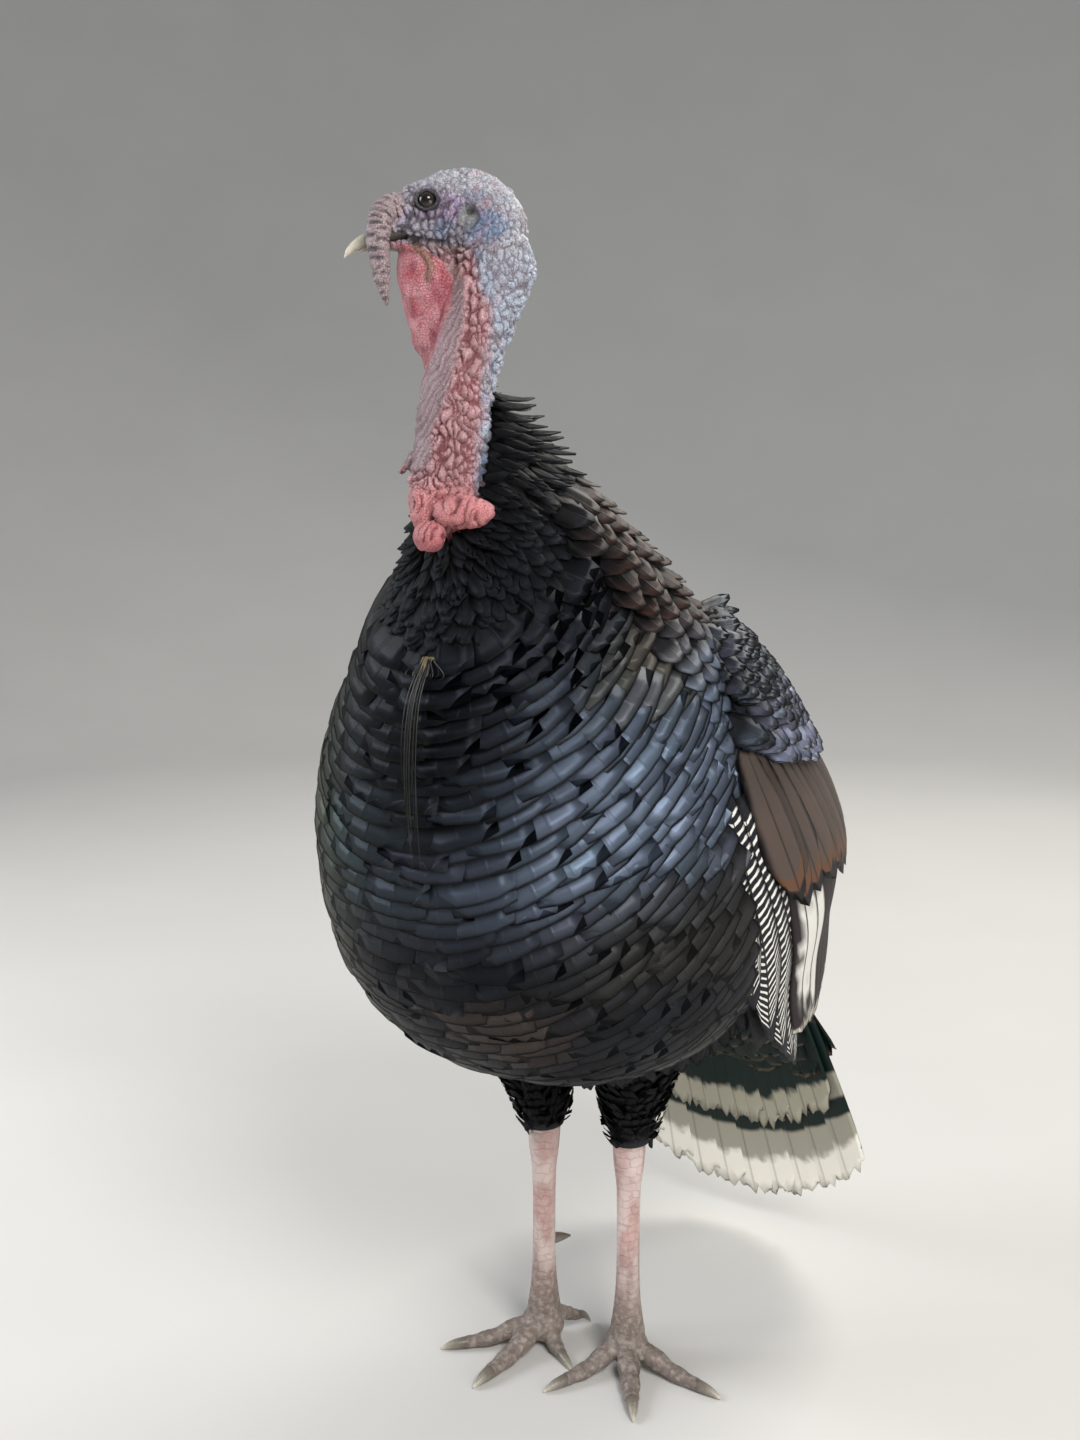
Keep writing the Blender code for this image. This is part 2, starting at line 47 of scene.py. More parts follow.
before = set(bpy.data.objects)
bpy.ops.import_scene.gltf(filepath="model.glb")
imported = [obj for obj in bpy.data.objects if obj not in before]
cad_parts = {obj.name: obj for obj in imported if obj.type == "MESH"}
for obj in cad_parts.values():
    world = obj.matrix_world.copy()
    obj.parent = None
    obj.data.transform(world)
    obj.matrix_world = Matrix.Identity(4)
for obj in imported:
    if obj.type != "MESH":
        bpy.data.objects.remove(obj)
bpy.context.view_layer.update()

# ------ body plan, as the solids have it
HALF_SPACING = 0.038
FOOT_STEP = {"left": 0.006, "right": -0.006}
foot_low, foot_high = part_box("foot_left")
SHIFT = np.array(
    (
        (foot_low.x + foot_high.x) / 2 - HALF_SPACING,
        (foot_low.y + foot_high.y) / 2 - FOOT_STEP["left"] + 0.002,
        foot_low.z,
    )
)
HOCK_HEIGHT = 0.2
SHANK_RADIUS = 0.0105
SOLE_SINK = 0.0009
TOES = {
    "left": ((-24.0, 0.064, 0.0078), (33.0, 0.062, 0.0088), (86.0, 0.07, 0.008)),
    "right": ((-58.0, 0.034, 0.0074), (6.0, 0.072, 0.0088), (45.0, 0.07, 0.008)),
}
HIND_TOE_TURN = {"left": 138.0, "right": 150.0}
CLAW_LENGTH = 0.021

HEAD_CENTRE = np.array((-0.014, -0.1555, 0.911))
HEAD_YAW = math.radians(-50.0)
EYE_RADIUS = 0.0068
EYE_PLACE = np.array((0.0128, -0.018, 0.0065))

# breast y, breast z, back y, back z, half width
TRUNK_SECTIONS = (
    (-0.203, 0.69, -0.132, 0.793, 0.035),
    (-0.21, 0.655, -0.068, 0.739, 0.06),
    (-0.225, 0.603, -0.008, 0.676, 0.097),
    (-0.239, 0.53, 0.057, 0.634, 0.134),
    (-0.237, 0.446, 0.113, 0.573, 0.155),
    (-0.204, 0.362, 0.155, 0.511, 0.162),
    (-0.137, 0.303, 0.184, 0.454, 0.153),
    (-0.045, 0.278, 0.203, 0.408, 0.13),
    (0.04, 0.277, 0.21, 0.372, 0.1),
    (0.105, 0.288, 0.204, 0.344, 0.066),
    (0.14, 0.3, 0.19, 0.33, 0.034),
)
TRUNK_POWER = 2.25
# x, y, z, half depth, half width
NECK_SECTIONS = (
    (-0.006, -0.173, 0.706, 0.023, 0.0235),
    (-0.007, -0.176, 0.726, 0.0262, 0.0256),
    (-0.006, -0.171, 0.762, 0.0255, 0.0245),
    (-0.004, -0.166, 0.8, 0.025, 0.024),
    (0.003, -0.15, 0.845, 0.0265, 0.024),
    (0.007, -0.14, 0.877, 0.029, 0.0245),
    (0.002, -0.144, 0.905, 0.026, 0.022),
)
# y, centre z, half width, half height, in the head's own frame
SKULL_SECTIONS = (
    (0.049, -0.007, 0.005, 0.006),
    (0.0385, -0.003, 0.016, 0.0203),
    (0.016, 0.0015, 0.0205, 0.028),
    (-0.005, 0.002, 0.0192, 0.0269),
    (-0.021, 0.0, 0.016, 0.0225),
    (-0.033, -0.001, 0.0125, 0.0175),
    (-0.041, -0.004, 0.0085, 0.0115),
    (-0.044, -0.006, 0.004, 0.006),
)
UPPER_BILL = (
    (-0.028, -0.009, 0.01, 0.0088),
    (-0.04, -0.0105, 0.0088, 0.0075),
    (-0.053, -0.014, 0.0066, 0.0058),
    (-0.065, -0.0195, 0.004, 0.0042),
    (-0.0715, -0.0245, 0.002, 0.0028),
    (-0.0735, -0.028, 0.0007, 0.001),
)
LOWER_BILL = (
    (-0.026, -0.0205, 0.0085, 0.004),
    (-0.042, -0.02, 0.0066, 0.0034),
    (-0.056, -0.0212, 0.0044, 0.0026),
    (-0.064, -0.0245, 0.0012, 0.001),
)
# x, y, z, radius, in the head's own frame
SNOOD_LINE = (
    (0.0, -0.028, 0.006, 0.0072),
    (0.004, -0.04, 0.005, 0.008),
    (0.0125, -0.048, -0.002, 0.008),
    (0.0165, -0.051, -0.016, 0.0078),
    (0.0165, -0.05, -0.037, 0.0062),
    (0.0148, -0.0458, -0.0615, 0.001),
)
# x, y, z, radius of each side's lips and of the loose fold at the mouth's corner, in the head's own frame
UPPER_LIP = (
    (0.012, -0.006, -0.0165, 0.006),
    (0.0125, -0.02, -0.014, 0.0058),
    (0.0105, -0.032, -0.011, 0.0046),
    (0.0075, -0.042, -0.01, 0.0028),
)
LOWER_LIP = (
    (0.011, -0.008, -0.025, 0.0052),
    (0.0105, -0.022, -0.0225, 0.0048),
    (0.0085, -0.034, -0.0205, 0.0036),
    (0.0065, -0.043, -0.0195, 0.002),
)
MOUTH_CURL = (
    (0.0125, -0.027, -0.021, 0.0013),
    (0.0138, -0.021, -0.027, 0.0014),
    (0.0142, -0.0165, -0.035, 0.0015),
    (0.0138, -0.0195, -0.0425, 0.0013),
)
# x, y, z, radius of the small nub on the neck's front
NECK_NUB = ((-0.026, -0.184, 0.752, 0.006), (-0.031, -0.187, 0.746, 0.004), (-0.036, -0.19, 0.7415, 0.0012))
# z, front y, back y, half thickness, in the head's own frame
WATTLE_SECTIONS = (
    (-0.016, -0.036, 0.012, 0.011),
    (-0.032, -0.039, 0.012, 0.0135),
    (-0.056, -0.035, 0.012, 0.0125),
    (-0.08, -0.028, 0.012, 0.01),
    (-0.102, -0.021, 0.01, 0.007),
    (-0.116, -0.014, 0.008, 0.004),
)
# centre, radii, turn in degrees
CARUNCLES = (
    ((0.0212, -0.1955, 0.7155), (0.0205, 0.0122, 0.0106), 38.0),
    ((0.0035, -0.2095, 0.7), (0.0108, 0.0102, 0.01), 0.0),
    ((-0.008, -0.203, 0.718), (0.009, 0.0075, 0.015), -25.0),
)
# x, y, z, half chord, half thickness
WING_SECTIONS = (
    (0.094, -0.024, 0.645, 0.012, 0.01),
    (0.112, -0.02, 0.612, 0.044, 0.023),
    (0.129, -0.004, 0.561, 0.08, 0.028),
    (0.14, 0.03, 0.506, 0.101, 0.029),
    (0.147, 0.071, 0.45, 0.117, 0.026),
    (0.147, 0.103, 0.405, 0.124, 0.021),
    (0.143, 0.12, 0.355, 0.114, 0.0125),
    (0.138, 0.134, 0.305, 0.093, 0.01),
    (0.131, 0.145, 0.262, 0.056, 0.007),
    (0.125, 0.152, 0.236, 0.014, 0.004),
)
WING_BEND = 1.4
WING_POWER = 2.4
FEATHER_DEPTH = 0.007
BEARD_LINE = (
    (0.01, -0.222, 0.622, 0.006),
    (0.011, -0.2395, 0.596, 0.0066),
    (0.013, -0.2485, 0.56, 0.0075),
    (0.016, -0.2515, 0.52, 0.008),
    (0.02, -0.25, 0.48, 0.0065),
    (0.023, -0.245, 0.452, 0.002),
)
TAIL_ROOT = np.array((0.012, 0.15, 0.372))
TAIL_TIP = np.array((0.026, 0.28, 0.033))
TAIL_HALF_ROOT = 0.062
TAIL_HALF_TIP = 0.13
TAIL_ARCH = 0.012
# share of the foot's x, y from the foot, z, half width, half depth
THIGH_SECTIONS = (
    (1.75, -0.02, 0.36, 0.05, 0.062),
    (1.5, -0.012, 0.305, 0.036, 0.048),
    (1.2, -0.004, 0.255, 0.026, 0.034),
    (1.06, 0.0, 0.222, 0.02, 0.024),
    (1.02, 0.001, HOCK_HEIGHT, 0.016, 0.0185),
)
# z, width and depth as shares of the shank's radius
SHANK_SECTIONS = (
    (HOCK_HEIGHT + 0.012, 1.34, 1.55),
    (0.18, 1.16, 1.32),
    (0.155, 0.92, 1.05),
    (0.1, 0.87, 1.0),
    (0.06, 0.98, 1.12),
    (0.026, 1.42, 1.42),
)
# x, y, z, radius of a left spur, from the foot
SPUR_LINE = (
    (-0.002, -0.002, 0.093, 0.0058),
    (-0.004, 0.006, 0.092, 0.0052),
    (-0.007, 0.017, 0.0895, 0.0036),
    (-0.01, 0.026, 0.087, 0.001),
)
TOE_NAMES = ("inner", "middle", "outer", "hind")
SIDES = (("left", 1), ("right", -1))


# ------ numpy helpers
def spline(rows, places):
    """Catmull-Rom through the rows, read at places counted in rows; places may be an array of any shape."""
    rows = np.asarray(rows, float)
    padded = np.vstack([2 * rows[0] - rows[1], rows, 2 * rows[-1] - rows[-2]])
    places = np.asarray(places, float)
    first = np.clip(np.floor(places).astype(int), 0, len(rows) - 2)
    t = (places - first)[..., None]
    a, b, c, d = (padded[first + k] for k in range(4))
    return 0.5 * (2 * b + (c - a) * t + (2 * a - 5 * b + 4 * c - d) * t**2 + (3 * (b - c) + d - a) * t**3)


def columns(points):
    """The coordinates of points as arrays of their own."""
    return np.moveaxis(points, -1, 0)


def sampled(rows, count):
    """The columns of the spline through the rows, read at evenly spaced places."""
    return columns(spline(rows, np.linspace(0, len(rows) - 1, count)))


def stacked(parts):
    """Arrays of any matching shapes as the coordinates of points."""
    return np.stack(np.broadcast_arrays(*parts), -1)


def norm(vectors):
    """How long each vector is."""
    return np.linalg.norm(vectors, axis=-1)


def unit(vectors):
    """The same directions, one long."""
    return vectors / np.maximum(norm(vectors)[..., None], 1e-12)


def ease(low, high, x):
    """0 at low and before it, 1 at high and after it, with an S between them: 3 t squared less 2 t cubed."""
    t = np.clip((x - low) / (high - low), 0, 1)
    return t * t * (3 - 2 * t)


def blend(a, b, share):
    """Colour a where the share is 0, colour b where it is 1."""
    share = np.asarray(share)[..., None]
    return np.asarray(a) * (1 - share) + np.asarray(b) * share


def layered(tone, *coats):
    """A colour under coats of others, each laid over what is there as far as its share says."""
    for colour, share in coats:
        tone = blend(tone, colour, share)
    return tone


def turns(count):
    """Angles of a whole turn in equal steps from 0."""
    return np.linspace(0, 2 * math.pi, count, endpoint=False)


def squared(wave, power):
    """A sine or cosine to the 2 / power with its sign kept, which turns a circle into a superellipse."""
    return np.sign(wave) * np.abs(wave) ** (2 / power)


def running(steps):
    """The sum of the steps so far, from 0."""
    return np.concatenate([(0,), np.cumsum(steps)])


def from_head(points):
    """Points of the head's own frame, where the bill points to -Y, in the bird's frame."""
    points = np.asarray(points, float)
    c, s = math.cos(HEAD_YAW), math.sin(HEAD_YAW)
    x, y, z = columns(points)
    return np.stack((c * x - s * y, s * x + c * y, z), -1) + HEAD_CENTRE + SHIFT


def to_head(points):
    """Points of the bird's frame in the head's own."""
    c, s = math.cos(HEAD_YAW), math.sin(HEAD_YAW)
    x, y, z = columns(points - HEAD_CENTRE - SHIFT)
    return np.stack((c * x + s * y, -s * x + c * y, z), -1)


def lattice(i, j, k, seed):
    """A number from 0 to 1 for each whole-number place: a multiply-and-xor hash of its three indices."""
    mask = np.uint64(0xFFFFFFFF)
    h = (i.astype(np.int64).astype(np.uint64) * np.uint64(0x9E3779B1)) & mask
    h ^= (j.astype(np.int64).astype(np.uint64) * np.uint64(0x85EBCA77)) & mask
    h ^= (k.astype(np.int64).astype(np.uint64) * np.uint64(0xC2B2AE3D)) & mask
    h = ((h ^ np.uint64(seed)) * np.uint64(0x27D4EB2F)) & mask
    h ^= h >> np.uint64(15)
    h = (h * np.uint64(0x165667B1)) & mask
    h ^= h >> np.uint64(13)
    return (h & np.uint64(0xFFFFFF)).astype(float) / 0xFFFFFF


def soft_noise(points, size, seed=0):
    """Smooth noise from -1 to 1: lattice numbers blended over each cube of the given size."""
    p = points / size
    base = np.floor(p).astype(int)
    f = p - base
    f = f * f * (3 - 2 * f)
    total = 0
    for corner in range(8):
        step = np.array([(corner >> k) & 1 for k in range(3)])
        weight = np.prod(np.where(step, f, 1 - f), axis=-1)
        total = total + weight * lattice(*columns(base + step), seed)
    return total * 2 - 1


def cells(points, size, seed=0):
    """Distances to the nearest and the second nearest of scattered points, one to each cube of that size."""
    p = points / size
    base = np.floor(p).astype(int)
    near = np.full(p.shape[:-1], 9.0)
    second = near.copy()
    for offset in np.ndindex(3, 3, 3):
        cube = base + np.array(offset) - 1
        i, j, k = columns(cube)
        spot = cube + np.stack([lattice(i, j, k, seed + n) for n in range(3)], -1)
        distance = norm(p - spot)
        second = np.minimum(second, np.maximum(near, distance))
        near = np.minimum(near, distance)
    return near, second


# ------ mesh helpers
def mesh_object(name, points, quads, tint=None, materials=(), triangles=(), uvs=None, values=None, index=None):
    """A mesh from whole arrays, with its colour as the attribute Tint, UV maps and values given for each point."""
    quads = np.asarray(quads, np.int64).reshape(-1, 4)
    triangles = np.asarray(triangles, np.int64).reshape(-1, 3)
    corners = np.concatenate([quads.ravel(), triangles.ravel()])
    starts = np.concatenate([np.arange(len(quads)) * 4, len(quads) * 4 + np.arange(len(triangles)) * 3])
    mesh = bpy.data.meshes.new(name)
    mesh.vertices.add(len(points))
    mesh.vertices.foreach_set("co", np.asarray(points, np.float32).ravel())
    mesh.loops.add(len(corners))
    mesh.loops.foreach_set("vertex_index", corners.astype(np.int32))
    mesh.polygons.add(len(starts))
    mesh.polygons.foreach_set("loop_start", starts.astype(np.int32))
    mesh.polygons.foreach_set("use_smooth", np.ones(len(starts), bool))
    for label, uv in (uvs or {}).items():
        layer = mesh.uv_layers.new(name=label)
        layer.data.foreach_set("uv", np.asarray(uv, np.float32)[corners].ravel())
    if tint is not None:
        rgba = np.ones((len(points), 4), np.float32)
        rgba[:, :3] = tint
        mesh.color_attributes.new("Tint", "FLOAT_COLOR", "POINT").data.foreach_set("color", rgba.ravel())
    for label, value in (values or {}).items():
        mesh.attributes.new(label, "FLOAT", "POINT").data.foreach_set("value", np.asarray(value, np.float32))
    for material in materials:
        mesh.materials.append(material)
    if index is not None:
        mesh.polygons.foreach_set("material_index", np.asarray(index, np.int32))
    mesh.update(calc_edges=True)
    mesh.validate()
    obj = bpy.data.objects.new(name, mesh)
    bpy.context.scene.collection.objects.link(obj)
    return obj


def cell_quads(index):
    """The quads between neighbouring places of a grid of vertex numbers."""
    return np.stack((index[:-1, :-1], index[1:, :-1], index[1:, 1:], index[:-1, 1:]), -1).reshape(-1, 4)


def ring_quads(rows, sides):
    """Quads that join the rows of a tube of closed rings."""
    index = np.arange(rows * sides).reshape(rows, sides)
    return cell_quads(np.concatenate([index, index[:, :1]], 1))[:, (0, 3, 2, 1)]


def tube(rings):
    """Points, quads and triangles of a closed tube: the rings and a pole in the middle of each end."""
    rows, sides = rings.shape[:2]
    points = np.concatenate([rings.reshape(-1, 3), rings[:1].mean(1), rings[-1:].mean(1)])
    quads = ring_quads(rows, sides)
    j, last = np.arange(sides), (rows - 1) * sides
    k, pole = (j + 1) % sides, np.full(sides, rows * sides)
    triangles = np.concatenate([np.stack((k, j, pole), -1), np.stack((last + j, last + k, pole + 1), -1)])
    middle = rings.mean(1)
    along = middle[-1] - middle[0]
    turning = np.cross(rings[rows // 2, 0] - middle[rows // 2], rings[rows // 2, 1] - middle[rows // 2])
    if np.dot(turning, along) < 0:
        quads, triangles = quads[:, ::-1], triangles[:, ::-1]
    return points, quads, triangles


def ellipse_rings(centres, across, along, half_across, half_along, sides, power=2.0):
    """Closed superellipses: centre plus across times cos to the 2/power and along times sin to the 2/power."""
    turn = turns(sides)
    x, y = squared(np.cos(turn), power), squared(np.sin(turn), power)
    across = np.broadcast_to(across, centres.shape)[:, None, :]
    along = np.broadcast_to(along, centres.shape)[:, None, :]
    half_across = np.broadcast_to(half_across, len(centres))[:, None, None]
    half_along = np.broadcast_to(half_along, len(centres))[:, None, None]
    return centres[:, None, :] + across * half_across * x[None, :, None] + along * half_along * y[None, :, None]


def round_tube(rows, count, sides):
    """Rings along a spline of x, y, z, radius, square to its direction."""
    *centres, radii = sampled(rows, count)
    centres = stacked(centres)
    heading = unit(np.gradient(centres, axis=0))
    aside = unit(np.cross(heading, np.where(np.abs(heading[:, 2:]) > 0.9, (0.0, 1.0, 0.0), (0.0, 0.0, 1.0))))
    return ellipse_rings(centres, aside, np.cross(aside, heading), radii, radii, sides)


def rounded_ends(rows, count):
    """Places along rows, crowded at both ends so that a tube closes roundly."""
    t = np.linspace(0, math.pi, count)
    return (1 - np.cos(t)) / 2 * (rows - 1)


def ellipsoid_rings(centre, radii, turn):
    """Rings of latitude of a ball stretched by its three radii and turned about the vertical."""
    lat, lon = np.linspace(-math.pi / 2 + 0.08, math.pi / 2 - 0.08, 24)[:, None], turns(28)
    x = np.cos(lat) * np.cos(lon) * radii[0]
    y = np.cos(lat) * np.sin(lon) * radii[1]
    c, s = math.cos(turn), math.sin(turn)
    return stacked((c * x - s * y, s * x + c * y, np.sin(lat) * radii[2])) + centre


def joined(parts):
    """The points, quads and triangles of several parts as one."""
    counts = np.cumsum([0] + [len(p[0]) for p in parts])
    quads, triangles = (np.concatenate([p[k] + n for p, n in zip(parts, counts)]) for k in (1, 2))
    return np.concatenate([p[0] for p in parts]), quads, triangles


def fused(parts, voxel):
    """One seamless closed surface round overlapping tubes: points, normals and quads of a voxel remesh, smoothed."""
    points, quads, triangles = joined(parts)
    source = mesh_object("fusing", points, quads, triangles=triangles)
    remesh = source.modifiers.new("voxels", "REMESH")
    remesh.mode = "VOXEL"
    remesh.voxel_size = voxel
    smooth = source.modifiers.new("smoothing", "SMOOTH")
    smooth.factor = 0.5
    smooth.iterations = 2
    mesh = bpy.data.meshes.new_from_object(source.evaluated_get(bpy.context.evaluated_depsgraph_get()))
    points, normals = (np.empty(len(mesh.vertices) * 3, np.float32) for _ in range(2))
    mesh.vertices.foreach_get("co", points)
    mesh.vertices.foreach_get("normal", normals)
    quads = np.empty(len(mesh.loops), np.int32)
    mesh.loops.foreach_get("vertex_index", quads)
    bpy.data.objects.remove(source)
    bpy.data.meshes.remove(mesh)
    return points.reshape(-1, 3).astype(float), normals.reshape(-1, 3).astype(float), quads.reshape(-1, 4)


# ------ surfaces of the body
def trunk_surface(u, turn):
    """The body: u sections down from the neck, turn round it from the left side by way of the back."""
    breast_y, breast_z, back_y, back_z, half_width = columns(spline(TRUNK_SECTIONS, u))
    dy, dz = back_y - breast_y, back_z - breast_z
    x = half_width * squared(np.cos(turn), TRUNK_POWER)
    r = 0.5 * squared(np.sin(turn), TRUNK_POWER)
    return stacked((x, (breast_y + back_y) / 2 + dy * r, (breast_z + back_z) / 2 + dz * r)) + SHIFT


def breast_surface(w, turn):
    """The same body by rows that climb up the flanks: u is w less a climb that grows with the turn from the keel."""
    side = np.abs(turn + math.pi / 2)
    return trunk_surface(w - breast_climb(side), turn)


def mantle_surface(u, turn):
    """The back with a soft cushion over each shoulder, so that neck and wing run together."""
    points = trunk_surface(u, turn)
    middle = (trunk_surface(u, 0.0) + trunk_surface(u, math.pi)) / 2
    share = np.exp(-(((u - 1.9) / 1.1) ** 2) - ((np.abs(turn - math.pi / 2) - 0.95) / 0.55) ** 2)
    return points + unit(points - middle) * (0.02 * share)[..., None]


def ahead_of_wing(points):
    """True where the folded wings don't lie over the body."""
    edge = wing_surface(1)(np.linspace(7, 1, 25), np.full(25, -1.0))
    z = points[..., 2]
    room = 0.003 - 0.02 * ease(0.38, 0.43, z) * ease(0.55, 0.52, z)
    return (points[..., 1] < np.interp(z, edge[:, 2], edge[:, 1]) + room) | (z < 0.31) | (z > 0.625)


def breast_climb(side):
    """How many sections a row of breast feathers climbs by that turn from the keel."""
    return 0.36 * np.clip(side, 0, 2.0) ** 1.6


def wing_surface(sign):
    """The outer face of a folded wing: t sections down from the shoulder, c from its front to its rear edge."""
    chord = unit(np.array((-0.1 * sign, 0.9, 0.42)))
    outwards = unit(np.array((sign, 0.2, 0.0)))

    def surface(t, c):
        x, y, z, half_chord, half_thick = columns(spline(WING_SECTIONS, t))
        reach = half_chord * c
        rise = half_thick * np.maximum(1 - np.abs(np.clip(c, -1, 1)) ** WING_POWER, 0) ** (1 / WING_POWER)
        out = rise - WING_BEND * reach**2
        centre = stacked((x * sign, y, z))
        return centre + chord * reach[..., None] + outwards * out[..., None] + SHIFT

    return surface


def tail_axes():
    """Unit directions down the tail, across it and out of its upper face, and its length."""
    along = TAIL_TIP - TAIL_ROOT
    length = norm(along)
    along = along / length
    side = unit(np.array((1.0, 0, 0)) - along * along[0])
    return along, side, np.cross(side, along), length


def tail_surface(s, v):
    """The fan: s along it from root to tip, v from -1 to 1 across; its outer feathers lie lower."""
    along, side, dorsal, length = tail_axes()
    half_width = TAIL_HALF_ROOT + (TAIL_HALF_TIP - TAIL_HALF_ROOT) * np.maximum(s, 0) ** 0.65
    reach = length * s * (1 - 0.14 * v * v)
    droop = -TAIL_ARCH * v * v * (0.35 + 0.65 * s)
    flat = stacked((half_width * v, reach, droop))
    return TAIL_ROOT + flat @ np.stack((side, along, dorsal)) + SHIFT


def thigh_surface(side, sign):
    """A thigh: t sections down from the hip, turn round it."""

    def surface(t, turn):
        share, dy, z, wide, deep = columns(spline(THIGH_SECTIONS, t))
        x = sign * HALF_SPACING * share + wide * np.cos(turn)
        y = FOOT_STEP[side] + dy + deep * np.sin(turn)
        return stacked((x, y, z)) + SHIFT

    return surface


def neck_surface(u, turn):
    """The bare neck: u sections up from the ruff, turn round it."""
    x, y, z, deep, wide = columns(spline(NECK_SECTIONS, u))
    yaw = HEAD_YAW * u / (len(NECK_SECTIONS) - 1)
    a, b = wide * np.cos(turn), deep * np.sin(turn)
    return stacked((x + a * np.cos(yaw) - b * np.sin(yaw), y + a * np.sin(yaw) + b * np.cos(yaw), z)) + SHIFT


# ------ feathers
BAKE_PATCH = 0.003


def square_tip(s, v):
    """Share of the length and of the half width, for a blunt feather."""
    return s - 0.04 * s**3 * v**4, v * np.minimum(1, 0.55 + 1.1 * s) * (1 - 0.05 * s**10)


def round_tip(s, v):
    """A round feather: its corners fall back by v squared and it narrows with s to the sixth."""
    return s - 0.26 * s**3 * v * v, v * np.minimum(1, 0.45 + 1.3 * s) * (1 - 0.22 * s**6)


def pointed_tip(s, v):
    """A hackle that narrows to a point with s cubed."""
    return s, v * np.minimum(1, 0.5 + 1.2 * s) * (1 - 0.82 * s**3)


def wisp(s, v):
    """A loose tuft, widest at its middle, that narrows with s squared."""
    return s, v * (0.55 + 0.9 * s) * (1 - 0.9 * s**2)


def vanes(surface, u, a, length, width, turn, outline, rise, camber=0.0, curl=0.0, inset=0.0, thick=0.0006,
          grid=(6, 5), side=1, bake=None, colour=(0.1, 0.1, 0.1), jitter=0.0, roll=0.0, skew=0.0, fanned=False):
    """Feather sheets that follow a surface, each a closed lens of two sheets with one rim.

    A point s along and v across a feather moves square to its row by s times the length, and along the row by v
    times half the width, both turned by the feather's own angle; a fanned one runs down the surface's own lines
    instead. Skew slants its end, and jitter frays it. It stands over the surface by inset plus rise times s, plus
    camber times 1 - v squared, plus curl times s cubed, plus roll times v. bake maps a root to its place on the
    unwrap.
    """
    n, m = grid
    u, a, length, width, turn, rise, camber, curl, inset, skew, roll = (
        np.asarray(x, float)[:, None, None] if np.ndim(x) else np.full((len(u), 1, 1), float(x))
        for x in (u, a, length, width, turn, rise, camber, curl, inset, skew, roll)
    )
    s, v = np.meshgrid(np.linspace(0, 1, n), np.linspace(-1, 1, m), indexing="ij")
    along, across = outline(s, v)
    step = 1e-3
    slope_u = (surface(u + step, a) - surface(u - step, a)) / (2 * step)
    slope_a = (surface(u, a + step) - surface(u, a - step)) / (2 * step)
    row = unit(slope_a)
    lean = (slope_u * row).sum(-1) * (not fanned)
    fall = norm(slope_u - lean[..., None] * row)
    per_a = norm(slope_a)
    rough = np.random.default_rng(0).uniform(-1, 1, (u.shape[0], n, m)) * jitter * s**8
    down = (along + rough + skew * v * s**3) * length
    aside = across * width / 2
    pu = u + (down * np.cos(turn) - aside * np.sin(turn)) / fall
    pa = a + (down * np.sin(turn) + aside * np.cos(turn) - (pu - u) * lean) / per_a
    points = surface(pu, pa)
    normal = np.cross(surface(pu + step, pa) - surface(pu - step, pa), surface(pu, pa + step) - surface(pu, pa - step))
    normal = unit(normal) * side
    height = inset + rise * along + camber * (1 - v * v) + curl * along**3 + roll * v
    top = points + normal * height[..., None]
    bottom = top - normal * (thick * (1 - v * v) * np.sin(math.pi * np.clip(s, 0.02, 0.98)))[..., None]
    shape = top.shape[:3]
    tint = np.broadcast_to(colour, (*shape, 3))
    patch = np.broadcast_to(bake(u, a), (*shape, 2)) + BAKE_PATCH * np.stack((v / 2, s - 0.5), -1)
    vane = np.broadcast_to(np.stack(((v + 1) / 2, s), -1), (*shape, 2))
    return {"top": top, "bottom": bottom[:, 1:-1, 1:-1], "vane": vane, "bake": patch, "tint": tint, "side": side}


def coat_piece(name, look, slot, groups, *nodes):
    """Joins groups of feather sheets into one mesh with the maps Vane and OFBake and the attribute Tint."""
    points, quads, vane, bake, tint, count = [], [], [], [], [], 0
    for g in groups:
        f, n, m = g["top"].shape[:3]
        size = n * m + (n - 2) * (m - 2)
        top = np.arange(n * m).reshape(n, m)
        low = top.copy()
        low[1:-1, 1:-1] = n * m + np.arange((n - 2) * (m - 2)).reshape(n - 2, m - 2)
        sheet = np.concatenate([cell_quads(top), cell_quads(low)[:, ::-1]])
        if g["side"] < 0:
            sheet = sheet[:, ::-1]
        quads.append((count + np.arange(f)[:, None, None] * size + sheet[None]).reshape(-1, 4))
        for stack, key in ((vane, "vane"), (bake, "bake"), (tint, "tint")):
            value = g[key]
            inner = value[:, 1:-1, 1:-1].reshape(f, (n - 2) * (m - 2), -1)
            stack.append(np.concatenate([value.reshape(f, n * m, -1), inner], 1).reshape(f * size, -1))
        inner = g["bottom"].reshape(f, (n - 2) * (m - 2), 3)
        points.append(np.concatenate([g["top"].reshape(f, n * m, 3), inner], 1).reshape(-1, 3))
        count += f * size
    uvs = {"Vane": np.concatenate(vane), "OFBake": np.clip(np.concatenate(bake), 0, 1)}
    points, quads, tint = (np.concatenate(stack) for stack in (points, quads, tint))
    settled(mesh_object(name, points, quads, tint, [finish(look)], uvs=uvs), slot, *nodes)


def settled(obj, slot, *nodes):
    """The piece rides on the one body and stands for the nodes, which it hides; slot is not used."""
    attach(obj, "root")
    if nodes:
        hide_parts(*nodes)


# ------ colours that skin and coat share
def palette():
    """The colours set in the sidebar."""
    return bpy.context.scene.turkey_colours


